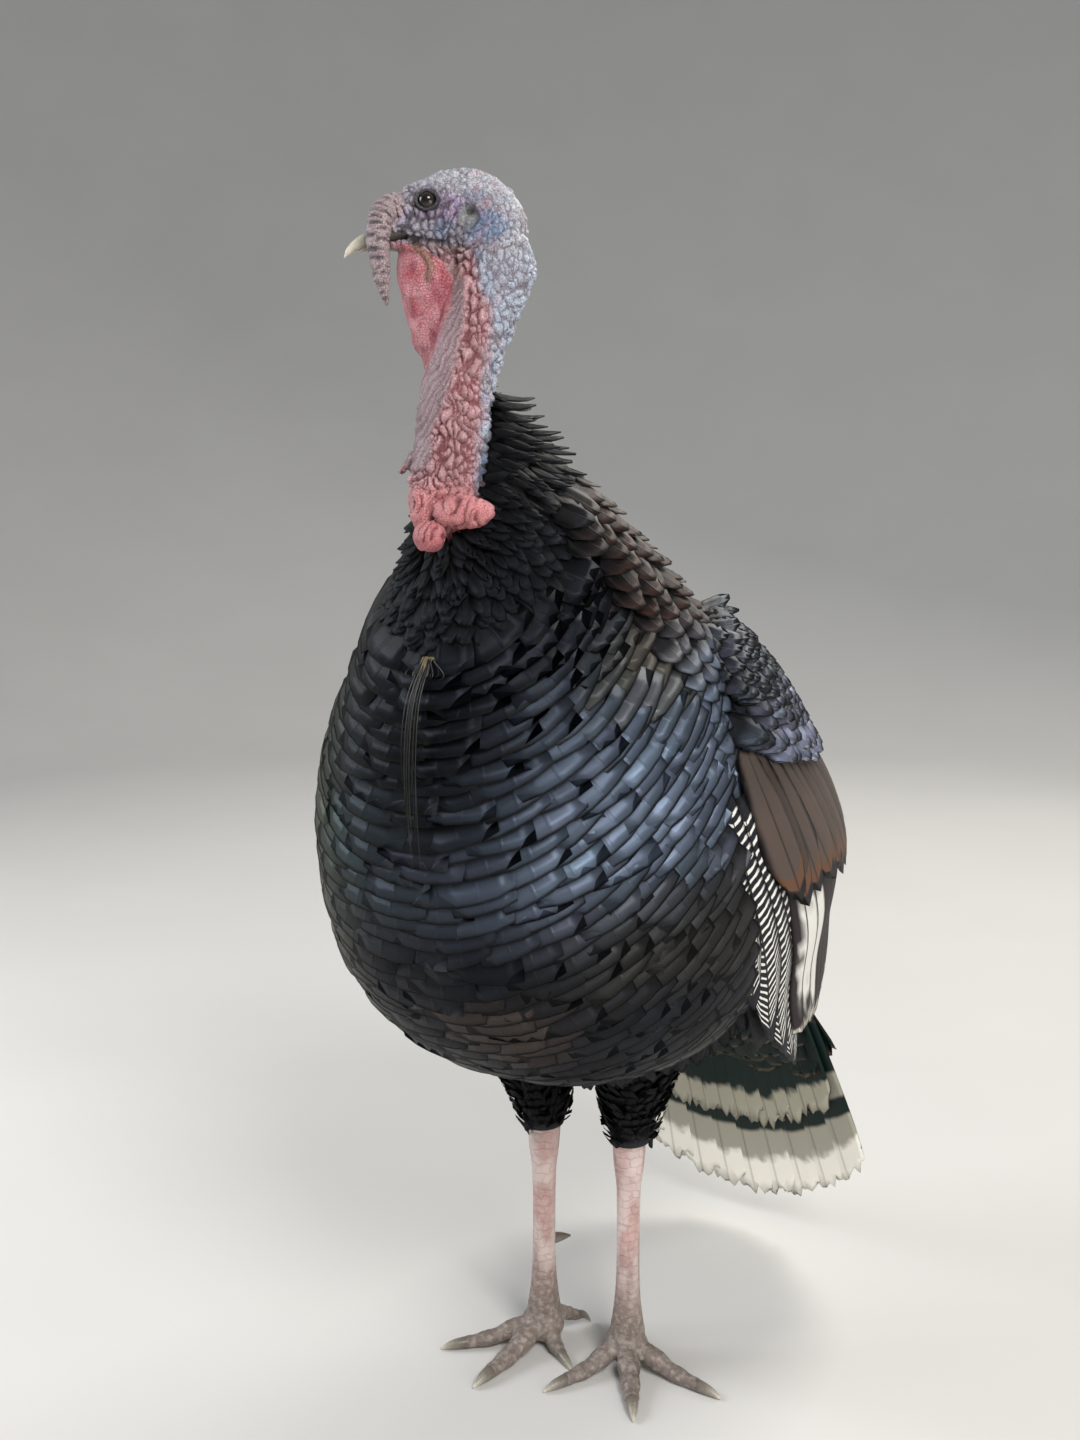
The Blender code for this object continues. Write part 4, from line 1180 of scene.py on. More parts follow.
def head_relief(points):
    """Height of the bare skin's own relief at each point, and how deep in a crevice it lies (0 top, -1 bottom).

    Every knob is a dome over one cell of scattered points: small ones on crown and nape, long winding ones down
    the middle of the neck. Slanting ridges mark its front, rings the snood, soft folds the coral tongue and
    curved creases the lobes; each is faded in by place.
    """
    q = to_head(points)
    x, y, z = columns(q)
    px, py, pz = columns(points - SHIFT)
    below = ease(-0.012, -0.03, z)
    warp = np.stack([soft_noise(points, 0.009, k) for k in (11, 12, 13)], -1)
    papilla, papilla_edge = knobs(points, warp * 0.0026, 0.8, 0.0044, 3, 0.62)
    knob, knob_edge = knobs(points, warp * 0.004, 0.6, 0.0056, 7, 0.5)
    pearl, pearl_edge = knobs(points, warp * 0.0036, 0.66, 0.0056, 37, 0.6)
    wrinkle, wrinkle_edge = knobs(points, warp * 0.0022, 0.62, 0.0048, 51, 0.5)
    wave = soft_noise(points * (1, 1, 0.5), 0.0045, 14)

    slant = (y * 0.86 - z * 0.5) / 0.00056
    ridge = 0.5 + 0.5 * np.sin(slant + 3.0 * soft_noise(points, 0.01, 4) + 1.5 * soft_noise(points, 0.004, 45))
    snood, place = snood_share(q)
    rings = wound(place * 72.0 + 1.6 * soft_noise(points, 0.007, 6), 0.7)
    coral = coral_share(q) * (1 - snood)
    fold = soft_noise(q * (0.5, 1.0, 0.35), 0.007, 9)
    lobes = ease(0.735, 0.727, pz) * ease(-0.172, -0.184, py)
    slant = (px * 0.85 + py * 0.4 - pz * 0.35) / 0.0019
    crease = wound(slant + 2.6 * soft_noise(points, 0.009, 23) + 0.8 * soft_noise(points, 0.004, 25), 0.6)
    crease = 1 - (1 - crease) * ease(-0.5, 0.2, soft_noise(points, 0.008, 24))
    front, rear = neck_zones(q, points)
    front = front * ease(0.738, 0.75, pz)
    bare_front = front * (1 - coral)
    face = (1 - below) * (1 - snood)
    behind = ease(-0.02, 0.012, y + 0.5 * z)
    around_eye = ease(0.022, 0.012, eye_distance(q))
    brow = wound(eye_distance(q) / 0.00125 + 2.2 * soft_noise(points, 0.006, 47), 0.6)
    middle = below * (1 - lobes) * (1 - coral) * (1 - front) * (1 - snood)
    lips = np.exp(-((mouth_line(q) / 0.0011) ** 2))
    lips = lips * ease(0.001, -0.01, y) * (1 - snood) * ease(0.004, 0.008, np.abs(x))

    height = face * (0.0019 * behind * (papilla - 0.45) + 0.0027 * (1 - behind) * (wrinkle - 0.5) + 0.0005 * wave)
    height += face * around_eye * 0.001 * (brow - 0.7)
    height += middle * (1 - rear) * (0.0046 * (knob - 0.6) + 0.0006 * papilla)
    height += middle * (rear * 0.003 * (pearl - 0.55) + 0.0003 * wave)
    height += bare_front * (0.0009 * (ridge - 0.5) + 0.001 * wave)
    height += coral * (0.0016 * fold + 0.0008 * wave + 0.0006 * throat_grain(points))
    height += snood * (1 - 0.75 * place) * (0.0021 * (rings - 0.6) + 0.0005 * wave)
    height += lobes * (0.0024 * (crease - 0.7) + 0.0008 * wave)
    height -= 0.0022 * lips

    papilla_edge = ease(0.02, 0.24, papilla_edge) * behind + ease(0.03, 0.32, wrinkle_edge) * (1 - behind)
    knob_edge = ease(0.02, 0.24, knob_edge) * (1 - rear) + ease(0.02, 0.24, pearl_edge) * rear
    low = middle * knob_edge + face * papilla_edge * (1 - around_eye * (1 - ease(0.2, 0.6, brow)))
    low += bare_front * (0.5 + 0.5 * ridge) + coral * (0.85 + 0.4 * fold)
    low += snood * ease(0.1, 0.75, rings) + lobes * ease(0.25, 0.8, crease)
    low = np.clip(low / np.maximum(middle + face + bare_front + coral + snood + lobes, 0.3), 0, 1) - 1
    return height, np.minimum(low, -0.95 * lips)


def eye_basis(sign):
    """An eye's axis, outwards, and two directions square to it, forwards and up."""
    axis = unit(np.array((sign * 1.0, -0.22, 0.1)))
    fore = unit(np.cross(axis, (0, 0, 1.0)))
    return axis, fore, np.cross(fore, axis)


def eye_sockets(points):
    """Sinks the skin in front of each eyeball: points near the eye's axis go back to the eye's middle."""
    q = to_head(points)
    for sign in (1, -1):
        centre = EYE_PLACE * (sign, 1, 1)
        axis, _, _ = eye_basis(sign)
        depth = (q - centre) @ axis
        wide = norm(q - centre - depth[:, None] * axis)
        sink = ease(0.008, 0.0058, wide) * (depth > -0.004)
        groove = 0.001 * np.exp(-(((wide - 0.0118) / 0.0016) ** 2)) * (depth > 0)
        q = q + axis * (sink * (0.0005 - depth) - groove)[:, None]
    return from_head(q)


def ear_holes(points, tone):
    """Dents the ears: an oval rim, a shallow grey floor and a pit at its upper rear in painted shade; returns points
    and tone.
    """
    q = to_head(points)
    for sign in (1, -1):
        across = np.stack((q[:, 1] - 0.008, q[:, 2] + 0.0035), -1)
        wide = norm(across / (0.0072, 0.0078))
        outer = q[:, 0] * sign > 0.008
        dent = ease(1.0, 0.72, wide) * 0.002 - 0.0008 * np.exp(-(((wide - 1.12) / 0.18) ** 2))
        pit = norm((across - (0.0016, 0.003)) / (0.004, 0.0034))
        pit = ease(1.0, 0.3, pit) * ease(1.0, 0.85, wide)
        q[:, 0] -= sign * outer * (dent + 0.0032 * pit)
        tone = blend(tone, (0.25, 0.27, 0.26), 0.75 * outer * ease(1.02, 0.85, wide))
        # painted shade: the pit of the ear opening is painted near black
        tone = blend(tone, (0.02, 0.017, 0.017), 0.95 * outer * pit)
        tone = blend(tone, (0.06, 0.05, 0.07), 0.6 * outer * np.exp(-(((wide - 1.0) / 0.1) ** 2)))
    return from_head(q), tone


def lids(sign):
    """An eyelid ring: an almond rim round the eyeball with a soft rolled section and fine radial creases."""
    n, m = 72, 14
    around, roll = np.meshgrid(turns(n), turns(m), indexing="ij")
    axis, fore, up = eye_basis(sign)
    wide = 0.0067 + 0.0005 * np.cos(2 * around)
    tall = 0.0061 + 0.0002 * np.cos(around)
    section = 0.00115 * (1 + 0.1 * np.sin(18 * around + 1.3 * np.sin(3 * around)))
    radius = section * np.cos(roll)
    lift = section * 1.1 * np.sin(roll) + 0.003
    flat = (np.cos(around) * (wide + radius))[..., None] * fore + (np.sin(around) * (tall + radius))[..., None] * up
    rings = from_head(EYE_PLACE * (sign, 1, 1) + flat + axis * (lift + 0.0006)[..., None])
    quads = ring_quads(n + 1, m)[:, (0, 3, 2, 1)] % (n * m)
    normal = np.cross(rings[1, 0] - rings[0, 0], rings[0, 1] - rings[0, 0])
    if np.dot(normal, rings[0, 0] - rings[0].mean(0)) < 0:
        quads = quads[:, ::-1]
    return rings.reshape(-1, 3), quads


def foot_place(side, sign):
    """The middle of a foot on the ground, in the body plan."""
    return np.array((sign * HALF_SPACING, FOOT_STEP[side], 0.0))


def toe_lines(side, sign):
    """For each toe of a foot: rows of x, y, z, radius for the toe and for its claw, and where and which way it ends."""
    foot = foot_place(side, sign)
    lines = []
    fore = [(turn, reach, radius, False) for turn, reach, radius in TOES[side]]
    for turn, reach, radius, hind in (*fore, (-HIND_TOE_TURN[side], 0.032, 0.005, True)):
        heading = sign * math.radians(turn)
        way = np.array((math.sin(heading), -math.cos(heading), 0.0))
        low = 0.8 * radius - SOLE_SINK
        if hind:
            path = ((0.008, 0.0235, 0.0072), (0.021, 0.018, 0.0064), (0.032, 0.0125, 0.005))
        else:
            path = ((0.0, 0.019, 1.1 * radius), (0.34 * reach, 0.0135, 1.06 * radius),
                    (0.58 * reach, low + 0.0024, 0.94 * radius), (0.8 * reach, low, 0.82 * radius),
                    (reach, low - 0.0006, 0.66 * radius))
        toe = [(*(foot + way * out + (0, 0, z)), r) for out, z, r in path]
        root, size = np.array(toe[-1][:3]), (0.0042 if hind else 0.62 * radius)
        length = 0.014 if hind else CLAW_LENGTH
        drop = max(0.0, root[2] - 0.0018)
        claw = [(*(root - way * 0.003), size * 0.9)]
        claw += [(*(root + way * length * out - (0, 0, drop * fall)), size * share)
                 for out, fall, share in ((0.0, 0.0, 1.0), (0.45, 0.12, 0.8), (0.8, 0.55, 0.45), (1.0, 1.0, 0.14))]
        lines.append((toe, claw, root, way))
    return lines


def leg_parts(side, sign):
    """Tubes of a bare leg: shank, ankle, foot ball and four toes with their joints' swellings."""
    foot = foot_place(side, sign) + SHIFT
    z, wide, deep = sampled(SHANK_SECTIONS, 40)
    centres = foot + stacked((0.0, 0.0, z))
    parts = [tube(ellipse_rings(centres, (1, 0, 0), (0, 1, 0), wide * SHANK_RADIUS, deep * SHANK_RADIUS, 30))]
    parts.append(tube(ellipsoid_rings(foot + (0, -0.002, 0.0165), (0.0185, 0.0175, 0.015), 0.0)))
    for toe, _, _, _ in toe_lines(side, sign):
        line = np.array(toe) + (*SHIFT, 0)
        places = np.linspace(0, len(line) - 1, 36)
        path = spline(line, places)
        heading = unit(np.gradient(path[:, :3], axis=0))
        aside = unit(np.cross(heading, (0, 0, 1.0)))
        radius = path[:, 3] * (1 + 0.07 * np.cos(places / (len(line) - 1) * 2 * math.pi * 3.0))
        squashed = ellipse_rings(path[:, :3], aside, np.cross(aside, heading), radius, radius * 0.86, 18)
        squashed[..., 2] = np.maximum(squashed[..., 2], SHIFT[2] + 0.0002)
        parts.append(tube(squashed))
    return parts


def leg_relief(points, side, sign):
    """Relief of the scales and how far each point lies along and round the leg, for the pattern of plates.

    Up the shank the length is the height; on the toes it is the distance from the ankle. Plates at the front and
    on top of the toes bulge a little in rows.
    """
    d = points - foot_place(side, sign) - SHIFT
    reach = norm(d[:, :2])
    shank = ease(0.026, 0.04, d[:, 2]) * ease(0.03, 0.022, reach)
    turn = np.arctan2(d[:, 0], -d[:, 1])
    heights = np.full(len(points), 9.0)
    around = np.zeros(len(points))
    for _, _, _, way in toe_lines(side, sign):
        aside = np.array((-way[1], way[0]))
        across = d[:, :2] @ aside
        ahead = d[:, :2] @ way[:2]
        miss = np.abs(across) + np.where(ahead < 0, 1.0, 0)
        closer = miss < heights
        heights = np.where(closer, miss, heights)
        around = np.where(closer, np.arctan2(across, d[:, 2] - 0.006), around)
    along = np.where(shank > 0.5, d[:, 2], reach + 0.3)
    around = np.where(shank > 0.5, turn * 0.0115, around * 0.008)
    front = np.where(shank > 0.5, np.cos(turn) * 0.5 + 0.5, ease(0.002, 0.006, d[:, 2]))
    row = np.abs(np.sin(along / 0.0055 * math.pi)) ** 0.6
    return 0.00045 * row * front, along, around


def feathered_parts():
    """The feathered body inside its coat: the trunk, thighs and wing arms drawn in by a feather's depth."""
    turn = turns(64)[None, :]
    u = np.linspace(0.02, len(TRUNK_SECTIONS) - 1.02, 70)[:, None]
    grid = trunk_surface(u, turn)
    step = 1e-3
    normal = unit(np.cross(trunk_surface(u + step, turn) - grid, trunk_surface(u, turn + step) - grid))
    parts = [tube(grid - normal * FEATHER_DEPTH)]
    turn = turn[:, ::2]
    c, s = np.cos(turn), np.sin(turn)
    for side, sign in SIDES:
        t = np.linspace(0, len(THIGH_SECTIONS) - 1, 24)[:, None]
        leg = thigh_surface(side, sign)(t, turn)
        middle = leg.mean(1, keepdims=True)
        share = np.minimum(0.5, 0.006 / norm(leg - middle)[..., None])
        parts.append(tube(middle + (leg - middle) * (1 - share * ease(4.0, 2.6, t)[..., None])))
        t = np.linspace(0.15, 6.6, 40)[:, None]
        outwards = unit(np.array((sign, 0.2, 0.0)))
        thick = 0.014 * np.sqrt(np.maximum(1 - c**2, 0)) * ease(9.0, 5.0, t) + 0.002
        parts.append(tube(wing_surface(sign)(t, c * 0.9) - outwards * (FEATHER_DEPTH + thick * (1 - s))[..., None]))
    return parts


def hide(points, quads, triangles, tint, material, along=0.0, around=0.0):
    """One part of the skin: its faces, and its colour and places on the leg for each point."""
    count = len(points)
    return (points, quads, np.asarray(triangles, int).reshape(-1, 3), np.broadcast_to(tint, (count, 3)),
            np.full(len(quads), material), np.broadcast_to(along, count), np.broadcast_to(around, count))


class TurkeySkin(bpy.types.Operator):
    """The one skin: bare head and neck, scaled legs and the plain hide under the feathers"""

    bl_idname = "turkey.skin"
    bl_label = "Skin"

    def execute(self, context):
        points, normals, quads = fused(head_parts(), HEAD_VOXEL)
        height, low = head_relief(points)
        points = eye_sockets(points + normals * height[:, None])
        points, tint = ear_holes(points, skin_colours(points, low))
        pieces = [hide(points, quads, (), tint, 0)]
        for sign in (1, -1):
            rim, faces = lids(sign)
            pieces.append(hide(rim, faces, (), np.asarray(palette().face) * 0.16, 0))
        for side, sign in SIDES:
            points, normals, quads = fused(leg_parts(side, sign), LEG_VOXEL)
            height, along, around = leg_relief(points, side, sign)
            tone = leg_colours(points)
            points = points + normals * height[:, None]
            points[:, 2] = np.maximum(points[:, 2], SHIFT[2])
            pieces.append(hide(points, quads, (), tone, 1, along, around))
        for part in feathered_parts():
            # painted shade: the hide takes half the plumage's brightness, dark in the gaps between feathers
            pieces.append(hide(*part, markings(part[0]) * 0.5, 2))
        points, quads, triangles = joined(pieces)
        tint, index, along, around = (np.concatenate([p[k] for p in pieces]) for k in (3, 4, 5, 6))
        index = np.concatenate([index, np.concatenate([np.full(len(p[2]), p[4][0]) for p in pieces])])
        materials = [finish(name) for name in ("Bare skin", "Leg scales", "Feathered skin")]
        obj = mesh_object("skin", points, quads, tint, materials, triangles, index=index,
                          values={"Along": along, "Around": around})
        nodes = ["head", "neck", "neck_base", "snood", "wattle", "trunk", "wing_left", "wing_right"]
        nodes += ["caruncle_left", "caruncle_front", "caruncle_right"]
        for side, _ in SIDES:
            nodes += [f"thigh_{side}", f"shank_{side}", f"foot_{side}"]
            nodes += [f"toe_{side}_{toe}" for toe in TOE_NAMES]
        settled(obj, "head_skin", *nodes)
        return {"FINISHED"}


def leg_colours(points):
    """Pink down the shank, greyer and browner towards the toes, with pale patches, partly dust, partly painted
    highlight.
    """
    c = palette()
    z = points[:, 2] - SHIFT[2]
    tone = blend(c.toe, c.shank, ease(0.03, 0.13, z))
    # pale streaky patches, partly dust and partly painted highlight
    dust_and_highlight = ease(-0.1, 0.5, soft_noise(points * (1, 1, 0.3), 0.008, 32)) * ease(0.04, 0.1, z)
    tone = blend(tone, (0.66, 0.58, 0.55), 0.6 * dust_and_highlight)
    return np.clip(tone * (1 + 0.16 * soft_noise(points, 0.012, 31))[:, None], 0, 1)


# ------ eyes, bill, claws
class TurkeyEyes(bpy.types.Operator):
    """Both eyeballs, with a black pupil, a brown iris and a dark ring"""

    bl_idname = "turkey.eyes"
    bl_label = "Eyes"

    def execute(self, context):
        """Each ball is rings round the eye's axis: the angle from the axis picks pupil, iris or ring."""
        angle = np.linspace(0.02, math.pi - 0.02, 40)
        around = turns(48)
        for side, sign in SIDES:
            axis, fore, up = eye_basis(sign)
            bulge = 1 + 0.05 * np.exp(-((angle / 0.45) ** 2))
            rings = (np.cos(angle) * bulge)[:, None, None] * axis + (np.sin(angle) * bulge)[:, None, None] * (
                np.cos(around)[:, None] * fore + np.sin(around)[:, None] * up)
            points, quads, triangles = tube(from_head(EYE_PLACE * (sign, 1, 1) + rings * EYE_RADIUS))
            from_axis = np.concatenate([np.repeat(angle, len(around)), (0.0, math.pi)])
            tone = blend((0.002, 0.002, 0.002), (0.022, 0.011, 0.008), ease(0.42, 0.48, from_axis))
            tone = blend(tone, (0.004, 0.003, 0.003), ease(0.66, 0.78, from_axis))
            obj = mesh_object(f"eyeball_{side}", points, quads, tone, [finish("Eye")], triangles)
            settled(obj, "eye", f"eye_{side}")
        return {"FINISHED"}


class TurkeyBill(bpy.types.Operator):
    """Upper and lower bill, with nostrils, and a pale hooked tip"""

    bl_idname = "turkey.bill"
    bl_label = "Bill"

    def execute(self, context):
        """Each half is a superellipse carried along its own spline; a dent at each side makes a nostril."""
        c = palette()
        for name, table in (("bill_upper", UPPER_BILL), ("bill_lower", LOWER_BILL)):
            y, z, half_width, half_height = columns(spline(table, rounded_ends(len(table), 44)))
            rings = ellipse_rings(stacked((0.0, y, z)), (1, 0, 0), (0, 0, 1), half_width, half_height, 36, 1.9)
            nostril = norm((np.abs(rings) - (0.0078, 0.0415, 0.0085)) / (0.0035, 0.004, 0.0016))
            rings[..., 0] *= 1 - 0.28 * np.exp(-(nostril**2)) * (name == "bill_upper")
            tone = blend(c.bill_root, c.horn_tip, ease(-0.046, -0.071, rings[..., 1]))
            points, quads, triangles = tube(from_head(rings))
            tone = np.concatenate([tone.reshape(-1, 3), tone[0, :1], tone[-1, :1]])
            obj = mesh_object(f"horn_{name}", points, quads, tone, [finish("Horn")], triangles)
            settled(obj, "horn", name)
        return {"FINISHED"}


class TurkeyClaws(bpy.types.Operator):
    """Eight claws and two spurs of horn"""

    bl_idname = "turkey.claws"
    bl_label = "Claws and spurs"

    def execute(self, context):
        c = palette()
        for side, sign in SIDES:
            for toe, (_, claw, _, _) in zip(TOE_NAMES, toe_lines(side, sign)):
                self.horn(f"claw_{side}_{toe}", np.array(claw) + (*SHIFT, 0), c.claw, c.horn_tip)
            spur = np.array(SPUR_LINE) * (sign, 1, 1, 1) + (*foot_place(side, sign), 0)
            self.horn(f"spur_{side}", spur + (*SHIFT, 0), c.toe, c.claw)
        return {"FINISHED"}

    def horn(self, node, line, root, tip):
        """A round tube that tapers along its spline, from the root's colour to the tip's."""
        rings = round_tube(line, 26, 16)
        rings[..., 2] = np.maximum(rings[..., 2], SHIFT[2])
        points, quads, triangles = tube(rings)
        tone = blend(root, tip, np.linspace(0, 1, 26) ** 2)
        tone = np.concatenate([np.repeat(tone, 16, 0), tone[:1], tone[-1:]])
        settled(mesh_object(f"horn_{node}", points, quads, tone, [finish("Horn")], triangles), "horn", node)


# ------ coat
REAR_DROP = 0.054
HALF_MAP = {"left": 0.01, "right": 0.51}


def down_wing(side, sign):
    """A wing's outer face by metres down from the shoulder instead of sections, and places on the wings' unwrap."""
    surface = wing_surface(sign)
    t = np.linspace(0, len(WING_SECTIONS) - 1, 400)
    line = surface(t, np.zeros(400))
    metres = running(norm(np.diff(line, axis=0)))

    def by_metres(d, c):
        return surface(np.interp(d, metres, t), c)

    def bake(d, c):
        down = 0.01 + np.clip(d / metres[-1], 0, 1) * 0.98
        return stacked((HALF_MAP[side] + (np.clip(c, -1, 1) + 1) / 2 * 0.48, down))

    return by_metres, bake


def tail_cover(depth, end, side):
    """A tail covert bed: the fan's sheet plus side times a cushion that is thickest at the root."""
    dorsal = tail_axes()[2]

    def surface(s, v):
        height = 0.004 + depth * np.maximum(1 - s / end, 0) ** 0.7 * np.sqrt(np.maximum(1 - v * v, 0))
        return tail_surface(s, v) + dorsal * (side * height)[..., None]

    return surface


def laid_rows(surface, u_low, u_high, a_low, a_high, row_gap, gap, seed, wrap=False, wobble=0.12):
    """Roots in rows down a surface: rows and roots keep their gaps in metres, and every other row is staggered."""
    rng = np.random.default_rng(seed)
    fine = np.linspace(u_low, u_high, 200)
    middle = np.linspace(a_low, a_high, 9)
    metres = running(norm(np.diff(surface(fine[:, None], middle[None, :]), axis=0)).mean(1))
    count = max(2, int(round(metres[-1] / row_gap)) + 1)
    rows = np.interp(np.linspace(0, metres[-1], count), metres, fine)
    spread = np.linspace(a_low, a_high, 361)
    roots_u, roots_a, steps = [], [], []
    for number, u in enumerate(rows):
        ring = surface(np.full(361, u), spread)
        arc = running(norm(np.diff(ring, axis=0)))
        n = max(1, int(round(arc[-1] / gap)))
        places = np.arange(n) + (0.5 * (number % 2) if wrap else 0.25 + 0.5 * (number % 2))
        places = np.clip((places + rng.uniform(-wobble, wobble, n)) / n, 0, 1) * arc[-1]
        a = np.interp(places, arc, spread)
        following = rows[number + 1] if number < count - 1 else 2 * u - rows[number - 1]
        roots_u.append(np.full(n, u))
        roots_a.append(a)
        here = surface(np.full(n, u), a)
        row = unit(surface(np.full(n, u), a + 0.01) - here)
        ahead = surface(np.full(n, following), a) - here
        steps.append(norm(ahead - (ahead * row).sum(-1, keepdims=True) * row))
    return np.concatenate(roots_u), np.concatenate(roots_a), np.concatenate(steps)


def varied(colours, seed, amount=0.15, sheen=0.0):
    """The colours with each feather's own brightness, and a lean of its own between teal and lilac."""
    rng = np.random.default_rng(seed)
    tone = colours * (1 + rng.uniform(-amount, amount, (len(colours), 1)))
    lean = rng.normal(0, sheen, (len(colours), 1))
    return np.clip(tone * (1 + lean * (0.9, -0.35, 0.25)), 0, 1)[:, None, None, :]


def trunk_bake(u, a):
    """Places on the trunk's unwrap: the turn across and the sections down."""
    return stacked((np.mod(a / (2 * math.pi) + 0.25, 1) * 0.98 + 0.01, u / 10 * 0.98 + 0.01))


def thigh_bake(side):
    """Places on the thighs' unwrap, the left one in its left half."""
    return lambda t, turn: stacked((HALF_MAP[side] + np.mod(turn / (2 * math.pi), 1) * 0.48, 0.02 + t / 8))


def tail_bake(s, v):
    """Places on the tail's unwrap: across it and along it."""
    return stacked((0.01 + (np.clip(v, -1, 1) + 1) / 2 * 0.98, 0.01 + np.clip(s, 0, 1) * 0.98))


def body_feathers(surface, u_range, a_range, row_gap, gap, width, outline, seed, keep=None, lengths=(0.03, 0.058),
                  lift=0.0085, inset=-0.0075, camber=0.001, curl=0.0018, roll=0.0008, layers=2.9, grid=(6, 5), dim=1.0,
                  stray=0.05, slant=0.035):
    """Feathers over part of the trunk, each as long as the rows are apart times the layers that overlap."""
    u, a, steps = laid_rows(surface, *u_range, *a_range, row_gap, gap, seed)
    rng = np.random.default_rng(seed + 1)
    if keep is not None:
        chosen = keep(u, a)
        u, a, steps = u[chosen], a[chosen], steps[chosen]
    length = np.clip(steps * layers, *lengths) * rng.uniform(0.95, 1.08, len(u))
    turn = rng.normal(0, stray, len(u))
    wide = width * rng.uniform(0.85, 1.15, len(u))
    tone = varied(markings(surface(u, a)) * dim, seed + 2, 0.3, 0.02)
    rise = rng.uniform(0.85, 1.2, len(u)) * lift
    return vanes(surface, u, a, length, wide, turn, outline, rise, camber, curl, inset, grid=grid, bake=trunk_bake,
                 colour=tone, roll=roll * np.sign(a + math.pi / 2), skew=rng.normal(0, slant, len(u)))


class TurkeyBreastFeathers(bpy.types.Operator):
    """Blunt overlapping breast feathers in rows that climb towards the wings, like slates"""

    bl_idname = "turkey.breast_feathers"
    bl_label = "Breast feathers"

    def execute(self, context):
        sizes = context.scene.turkey_sizes

        def on_breast(w, a):
            u = w - breast_climb(np.abs(a + math.pi / 2))
            return (u > 1.0) & (u < 7.6) & ahead_of_wing(trunk_surface(u, a))

        feathers = body_feathers(
            breast_surface, (1.0, 9.2), (-math.pi - 0.42, 0.42), sizes.breast_row, sizes.breast_gap,
            sizes.breast_width, square_tip, 100, on_breast, lengths=(0.032, 0.062), layers=3.2, camber=0.0004,
            roll=0.0006, slant=0.05)
        coat_piece("feathers_breast", "Breast feather", "feather", [feathers])
        return {"FINISHED"}


class TurkeyMantleFeathers(bpy.types.Operator):
    """Round-ended feathers of the back, coppery above and slate below"""

    bl_idname = "turkey.mantle_feathers"
    bl_label = "Mantle and back feathers"

    def execute(self, context):
        def between_wings(u, a):
            return ahead_of_wing(trunk_surface(u, a)) | (np.abs(np.cos(a)) < 0.75)

        feathers = body_feathers(mantle_surface, (0.6, 9.0), (0.1, math.pi - 0.1), 0.0125, 0.018, 0.026, round_tip,
                                 200, between_wings, stray=0.12, lengths=(0.024, 0.04))
        coat_piece("feathers_mantle", "Mantle feather", "feather", [feathers])
        return {"FINISHED"}


class TurkeyBellyTufts(bpy.types.Operator):
    """Loose black tufts of the belly, the vent and the thighs"""

    bl_idname = "turkey.belly_tufts"
    bl_label = "Belly and thigh tufts"

    def execute(self, context):
        groups = [body_feathers(
            trunk_surface, (6.3, 9.8), (-math.pi - 0.2, 0.2), 0.012, 0.012, 0.017, wisp, 300, lengths=(0.034, 0.052),
            lift=0.013, inset=-0.006, camber=0.0006, curl=0.004, layers=3.4, grid=(5, 4), stray=0.25, dim=0.8)]
        for side, sign in SIDES:
            surface = thigh_surface(side, sign)
            u, a, _ = laid_rows(surface, 0.1, 3.5, 0, 2 * math.pi, 0.0085, 0.0068, 320, True, 0.45)
            rng = np.random.default_rng(321 + sign)
            length = rng.uniform(0.02, 0.042, len(u)) * np.interp(u, (2.4, 3.2), (1.0, 0.42))
            width, turn = rng.uniform(0.006, 0.012, len(u)), rng.normal(0, 0.4, len(u))
            rise, curl = rng.uniform(0.003, 0.015, len(u)), rng.uniform(-0.004, 0.005, len(u))
            tone = varied(markings(surface(u, a)) * 0.8, 322, 0.4)
            groups.append(vanes(surface, u, a, length, width, turn, wisp, rise, 0.0004, curl, -0.0058, grid=(5, 3),
                                side=-1, bake=thigh_bake(side), colour=tone))
        coat_piece("feathers_belly", "Down", "feather", groups)
        return {"FINISHED"}


